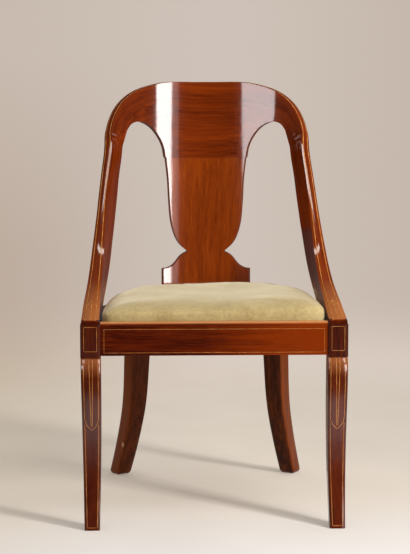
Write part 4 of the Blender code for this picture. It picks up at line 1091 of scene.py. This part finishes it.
def cover_mesh():
    """The closed skin before it swells, ring by ring: crown, sides, return under the frame, base."""
    shape = bmesh.new()
    held = shape.verts.layers.deform.verify()
    roll_top = RAIL_TOP + ROLL
    levels = [(math.sin(math.pi / 2 * k / CROWN_RINGS), None, 0.0) for k in range(1, CROWN_RINGS + 1)]
    for k in range(1, SIDE_RINGS + 1):
        height = roll_top + (cover_low.z - roll_top) * k / SIDE_RINGS
        levels.append((1.0, height, 1.0 if height < RAIL_TOP + TACKED_RISE else 0.0))
    levels += [(share, cover_low.z, 1.0) for share in RETURN_SHARES]
    loops = []
    for share, height, pin in levels:
        loop = []
        for i in range(AROUND):
            angle = 2 * math.pi * i / AROUND
            edge = cover_edge(angle)
            rise = height if height is not None else roll_top + CROWN * crown_share(share, angle)
            blend = share ** 2
            reach = share * (edge * blend + min(round_reach(angle), edge * 1.05) * (1 - blend))
            spot = seat_middle + towards(angle) * min(reach, edge)
            point = shape.verts.new((spot.x, spot.y, rise))
            point[held][0] = pin
            loop.append(point)
        loops.append(loop)
    top = shape.verts.new((seat_middle.x, seat_middle.y, roll_top + CROWN))
    base = shape.verts.new((seat_middle.x, seat_middle.y, cover_low.z))
    base[held][0] = 1.0
    for i in range(AROUND):
        shape.faces.new((top, loops[0][i - 1], loops[0][i]))
        shape.faces.new((base, loops[-1][i], loops[-1][i - 1]))
    ringed(shape, loops)
    bmesh.ops.recalc_face_normals(shape, faces=shape.faces)
    return mesh_of(shape, "seat_cushion")


def swollen(cushion):
    """Lets the velvet swell on its pad as cloth under pressure, no further than the pad can push it."""
    start = [point.co.copy() for point in cushion.data.vertices]
    cushion.vertex_groups.new(name="tacked")
    cloth = cushion.modifiers.new("velvet", "CLOTH")
    cloth.settings.quality = 6
    cloth.settings.mass = 0.3
    cloth.settings.tension_stiffness = 18.0
    cloth.settings.compression_stiffness = 18.0
    cloth.settings.bending_stiffness = 1.5
    cloth.settings.use_pressure = True
    cloth.settings.uniform_pressure_force = 4.0
    cloth.settings.vertex_group_mass = "tacked"
    cloth.settings.effector_weights.gravity = 0.0
    cloth.point_cache.frame_start = 1
    cloth.point_cache.frame_end = SWELL_STEPS
    for step in range(1, SWELL_STEPS + 1):
        bpy.context.scene.frame_set(step)
    settle(cushion)
    bpy.context.scene.frame_set(1)
    for point, before in zip(cushion.data.vertices, start):
        move = point.co - before
        inner = min(1.0, max(0.0, (before.z - RAIL_TOP - ROLL) / CROWN))
        most = SWELL_SIDE + (SWELL_TOP - SWELL_SIDE) * inner
        if move.length > most:
            point.co = before + move.normalized() * most


cushion = placed("seat_cushion", cover_mesh())
swollen(cushion)
for point in cushion.data.vertices:
    if point.co.z > RAIL_TOP + SOFT_RISE:
        share = min(1.0, (point.co.z - RAIL_TOP - SOFT_RISE) / SOFT_FADE)
        spot = Vector((point.co.x * LUMPS_PER_METRE, point.co.y * LUMPS_PER_METRE, LUMP_LAYER))
        point.co.z += LUMP * share * noise.noise(spot)
        point.co.z += LEAN * share * point.co.x
shape = bmesh.new()
shape.from_mesh(cushion.data)
hollow = [face for face in shape.faces if len(face.verts) == 3 and face.calc_center_median().z < pad_low]
bmesh.ops.delete(shape, geom=hollow, context="FACES")
shape.to_mesh(cushion.data)
shape.free()
thicken = cushion.modifiers.new("velvet", "SOLIDIFY")
thicken.thickness = COVER_THICK
thicken.offset = -1.0
finer = cushion.modifiers.new("finer", "SUBSURF")
finer.levels = 1
finer.render_levels = 1
settle(cushion)
cushion.data.shade_smooth()


def velvet():
    """Cotton velvet: a short pile whose nap lies this way and that, pale where it is brushed back."""
    material, tree, shader = new_finish("green_beige_velvet")
    place = put(tree, "ShaderNodeTexCoord").outputs["Object"]
    brushed = clouds(tree, place, 22.0, 5.0, 0.62)
    tufts = clouds(tree, place, 190.0, 4.0, 0.7)
    pile = clouds(tree, place, 1500.0, 2.0)
    nap = weighed(tree, (brushed, 0.5), (tufts, 0.5))
    ground = mixed(tree, spread(tree, nap, 0.36, 0.66), screen(163, 142, 92), screen(200, 181, 131))
    fibre = sums(tree, "MULTIPLY", spread(tree, pile, 0.35, 0.70), 0.25)
    height = weighed(tree, (tufts, 0.6), (pile, 0.4))
    feed(shader, {"Base Color": mixed(tree, fibre, ground, screen(132, 111, 68)),
                  "Roughness": spread(tree, nap, 0.3, 0.7, 0.95, 0.78),
                  "Normal": relief(tree, height, 0.45, 0.0012), "Specular IOR Level": 0.15,
                  "Sheen Weight": 0.70, "Sheen Roughness": 0.45, "Sheen Tint": screen(250, 243, 220)})
    return material


cushion.data.materials.clear()
cushion.data.materials.append(velvet())
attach(cushion, "seat")
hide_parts("seat_cover", "seat_pad")


# Tacks
# Small blued tacks that hold the turned-under edge of the velvet to the seat frame, a thumb's width apart.

TACK_PITCH = 0.026
TACK_HEAD = 0.0034
TACK_RISE = 0.0011
TACK_SHANK = 0.0011
TACK_SUNK = 0.0008
TACK_SIDES = 14
TACK_LINE = 0.95
WALK_STEPS = 1440


def tack_mesh():
    """One tack head, domed along +Z, with a short shank sunk below it."""
    rings = [(-TACK_SUNK, TACK_SHANK), (0.0, TACK_SHANK), (0.0, TACK_HEAD)]
    rings += [(TACK_RISE * math.sin(a), TACK_HEAD * math.cos(a)) for a in (0.45, 0.9, 1.3)]
    mesh = turned_mesh("tack", rings, TACK_SIDES)
    mesh.shade_smooth()
    return mesh


def blued_tack():
    """Blued iron, nearly black and a little worn."""
    material, tree, shader = new_finish("blued_iron")
    spots = clouds(tree, put(tree, "ShaderNodeTexCoord").outputs["Object"], 700.0, 3.0)
    colour = mixed(tree, spread(tree, spots, 0.4, 0.7), screen(38, 40, 48), screen(84, 76, 68))
    feed(shader, {"Base Color": colour, "Metallic": 0.8,
                  "Roughness": spread(tree, spots, 0.3, 0.7, 0.35, 0.6)})
    return material


tack_places = []
walked = 0.0
last_spot = None
for i in range(WALK_STEPS):
    angle = 2 * math.pi * i / WALK_STEPS
    spot = seat_middle + towards(angle) * cover_edge(angle) * TACK_LINE
    walked += (spot - last_spot).length if last_spot else TACK_PITCH
    last_spot = spot
    if walked >= TACK_PITCH:
        walked = 0.0
        tack_places.append((Vector((spot.x, spot.y, cover_low.z)), Vector((0, 0, -1))))
tack_model = placed("tack_model", tack_mesh())
tacks = grown("cover_tacks", aimed_points("tack_points", tack_places), set_on_points,
              {"Model": tack_model, "Finish": blued_tack()})
bpy.data.objects.remove(tack_model)
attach(tacks, "seat")


# Stage
# A pale paper floor with painted shade and a glow of its own runs off into a beige backdrop painted darker
# to the left, with a dark screen behind the camera that only the polish sees.

FLOOR_RADIUS = 4.0
FLOOR_DROP = 0.0004
FLOOR_GLOW = 0.20
FLOOR_FADE = (0.7, 2.2)


def smoothly(tree, value, low, high):
    """How far a value has come from low to high, with a soft start and end."""
    return put(tree, "ShaderNodeMapRange", {"Value": value, "From Min": low, "From Max": high},
               interpolation_type="SMOOTHSTEP").outputs[0]


def paper():
    """Matt paper with painted shade to the left and right and a painted glow, fading into the backdrop."""
    material, tree, shader = new_finish("floor_paper")
    place = put(tree, "ShaderNodeTexCoord").outputs["Object"]
    spot = put(tree, "ShaderNodeSeparateXYZ", {0: place}).outputs
    away = put(tree, "ShaderNodeVectorMath", {0: place}, operation="LENGTH").outputs["Value"]
    shade = spread(tree, clouds(tree, place, 3.0, 2.0), 0.3, 0.7)
    near = mixed(tree, shade, screen(212, 216, 226), screen(218, 222, 232))
    far = mixed(tree, shade, screen(212, 204, 194), screen(220, 212, 202))
    clean = mixed(tree, spread(tree, spot[1], -0.75, 0.0), near, far)
    # Painted shade: warmer and darker to the left, greyer to the right.
    shaded_left = mixed(tree, spread(tree, spot[0], -0.2, -0.8, 0.0, 0.6), clean, screen(206, 188, 158))
    shade_right = spread(tree, spot[0], 0.1, 0.7, 0.0, 0.45)
    # The paper glows a little: painted light that lifts the shadows on it.
    feed(shader, {"Base Color": mixed(tree, shade_right, shaded_left, screen(176, 170, 166)), "Roughness": 0.85,
                  "Emission Color": screen(255, 243, 228), "Emission Strength": FLOOR_GLOW,
                  "Specular IOR Level": 0.1})
    clear = put(tree, "ShaderNodeBsdfTransparent").outputs[0]
    fade = smoothly(tree, away, *FLOOR_FADE)
    both = put(tree, "ShaderNodeMixShader", {0: fade, 1: shader.outputs[0], 2: clear}).outputs[0]
    feed(tree.nodes["Material Output"], {"Surface": both})
    return material


shape = bmesh.new()
bmesh.ops.create_circle(shape, cap_ends=True, segments=96, radius=FLOOR_RADIUS)
floor = placed("floor", mesh_of(shape, "floor"))
floor.data.materials.append(paper())
floor.location.z = -FLOOR_DROP

shape = bmesh.new()
bmesh.ops.create_grid(shape, x_segments=1, y_segments=1, size=0.5)
flag = placed("dark_screen", mesh_of(shape, "dark_screen"))
felt, _, felt_shader = new_finish("black_felt")
feed(felt_shader, {"Base Color": screen(28, 25, 23), "Roughness": 1.0})
flag.data.materials.append(felt)
flag.location = (-0.1, -4.2, 1.0)
flag.rotation_euler = (math.radians(90), 0.0, 0.0)
flag.scale = (3.4, 3.4, 1.0)
flag.visible_camera = False
flag.visible_shadow = False
flag.visible_diffuse = False


# Light
# A tall soft box to the right of the camera with a dimmer edge beside it, a white board to the left, a
# strip overhead and two high boxes show in the polish. The light and the shadows come from the high box
# on the right and a smaller lamp lower down, in a room of even light.

ROOM_LEVEL = 0.48
POLISH_LEVELS = (0.05, 0.09)


def soft_box(name, place, aim, size, radiance, tint, glint=False, gleam=True):
    """A rectangular lamp aimed at a point, given by how bright its face is.

    A glint shows only in the polish. A lamp without gleam shows everywhere but there.
    """
    lamp = bpy.data.lights.new(name, "AREA")
    lamp.shape = "RECTANGLE"
    lamp.size, lamp.size_y = size
    lamp.energy = radiance * math.pi * size[0] * size[1]
    lamp.color = tint
    holder = placed(name, lamp)
    holder.location = place
    holder.rotation_euler = (Vector(aim) - Vector(place)).to_track_quat("-Z", "Y").to_euler()
    holder.visible_camera = False
    holder.visible_diffuse = not glint
    holder.visible_glossy = gleam


def around(azimuth, distance, height):
    """A place round the chair, by its angle to the right of straight in front."""
    turn = math.radians(azimuth)
    return (math.sin(turn) * distance, -math.cos(turn) * distance, height)


soft_box("key_box", around(39, 2.4, 1.05), (0, 0.1, 0.8), (0.58, 1.1), 16.0, (1.0, 0.99, 0.97), glint=True)
soft_box("key_edge", around(29, 2.45, 1.05), (0, 0.1, 0.8), (0.26, 1.1), 1.3, (1.0, 0.94, 0.92), glint=True)
soft_box("key_lamp", around(46, 2.4, 1.30), (0, 0.1, 0.5), (0.34, 0.50), 94.0, (1.0, 0.97, 0.93),
         gleam=False)
soft_box("white_board", around(-45, 2.15, 1.14), (0, 0.1, 0.85), (1.15, 0.6), 6.8, (1.0, 0.98, 0.98),
         glint=True)
soft_box("strip_box", (0.0, -0.12, 2.4), (0, 0.06, 0.55), (1.8, 0.16), 8.0, (1.0, 0.93, 0.82), glint=True)
for side, radiance in ((-1, 6.5), (1, 9.0)):
    soft_box("high_box", (1.08 * side, -1.18, 2.33), (0.2 * side, 0.12, 0.65), (0.55, 0.8), radiance,
             (1.0, 0.96, 0.92), glint=side < 0)

world = bpy.data.worlds.new("even_room")
bpy.context.scene.world = world
world.use_nodes = True
sky = world.node_tree
way = put(sky, "ShaderNodeSeparateXYZ", {0: put(sky, "ShaderNodeTexCoord").outputs["Generated"]}).outputs
# The backdrop is painted darker to the left, and lower down on that side, as painted shade.
across = smoothly(sky, way[0], -0.10, 0.05)
left_wall = mixed(sky, spread(sky, way[2], 0.02, -0.09), screen(200, 186, 174), screen(188, 171, 157))
right_wall = mixed(sky, spread(sky, way[0], 0.06, 0.15), screen(206, 193, 183), screen(198, 184, 172))
wall = mixed(sky, across, left_wall, right_wall)
foot = mixed(sky, across, screen(196, 179, 160), screen(222, 208, 196))
behind = mixed(sky, smoothly(sky, way[2], -0.11, -0.17), wall, foot)
path = put(sky, "ShaderNodeLightPath").outputs
seen = sums(sky, "MAXIMUM", path["Is Camera Ray"], path["Is Transmission Ray"])
gleam = spread(sky, way[1], 0.2, 0.9, *POLISH_LEVELS)
level = put(sky, "ShaderNodeMix", {0: path["Is Glossy Ray"], 2: ROOM_LEVEL, 3: gleam}).outputs[0]
room = put(sky, "ShaderNodeBackground", {"Color": (1.0, 0.94, 0.87, 1.0), "Strength": level}).outputs[0]
backdrop = put(sky, "ShaderNodeBackground", {"Color": behind, "Strength": 1.0}).outputs[0]
shown = put(sky, "ShaderNodeMixShader", {0: seen, 1: room, 2: backdrop}).outputs[0]
feed(sky.nodes["World Output"], {"Surface": shown})


# Camera
# Level with the crest and a little to the left of the chair, looking slightly down at it.

PICTURE_HIGH = 554
FOCUS = 1754.0
CAMERA_PLACE = (-0.1402, -3.5316, 0.8256)
LOOK_DOWN = 5.99
LOOK_RIGHT = 2.118
lens = bpy.data.cameras.new("camera")
lens.sensor_width = 36.0
lens.lens = FOCUS * lens.sensor_width / PICTURE_HIGH
camera = placed("camera", lens)
camera.location = CAMERA_PLACE
camera.rotation_euler = (math.radians(90 - LOOK_DOWN), 0.0, math.radians(-LOOK_RIGHT))
bpy.context.scene.camera = camera
bpy.context.scene.view_settings.view_transform = "Standard"
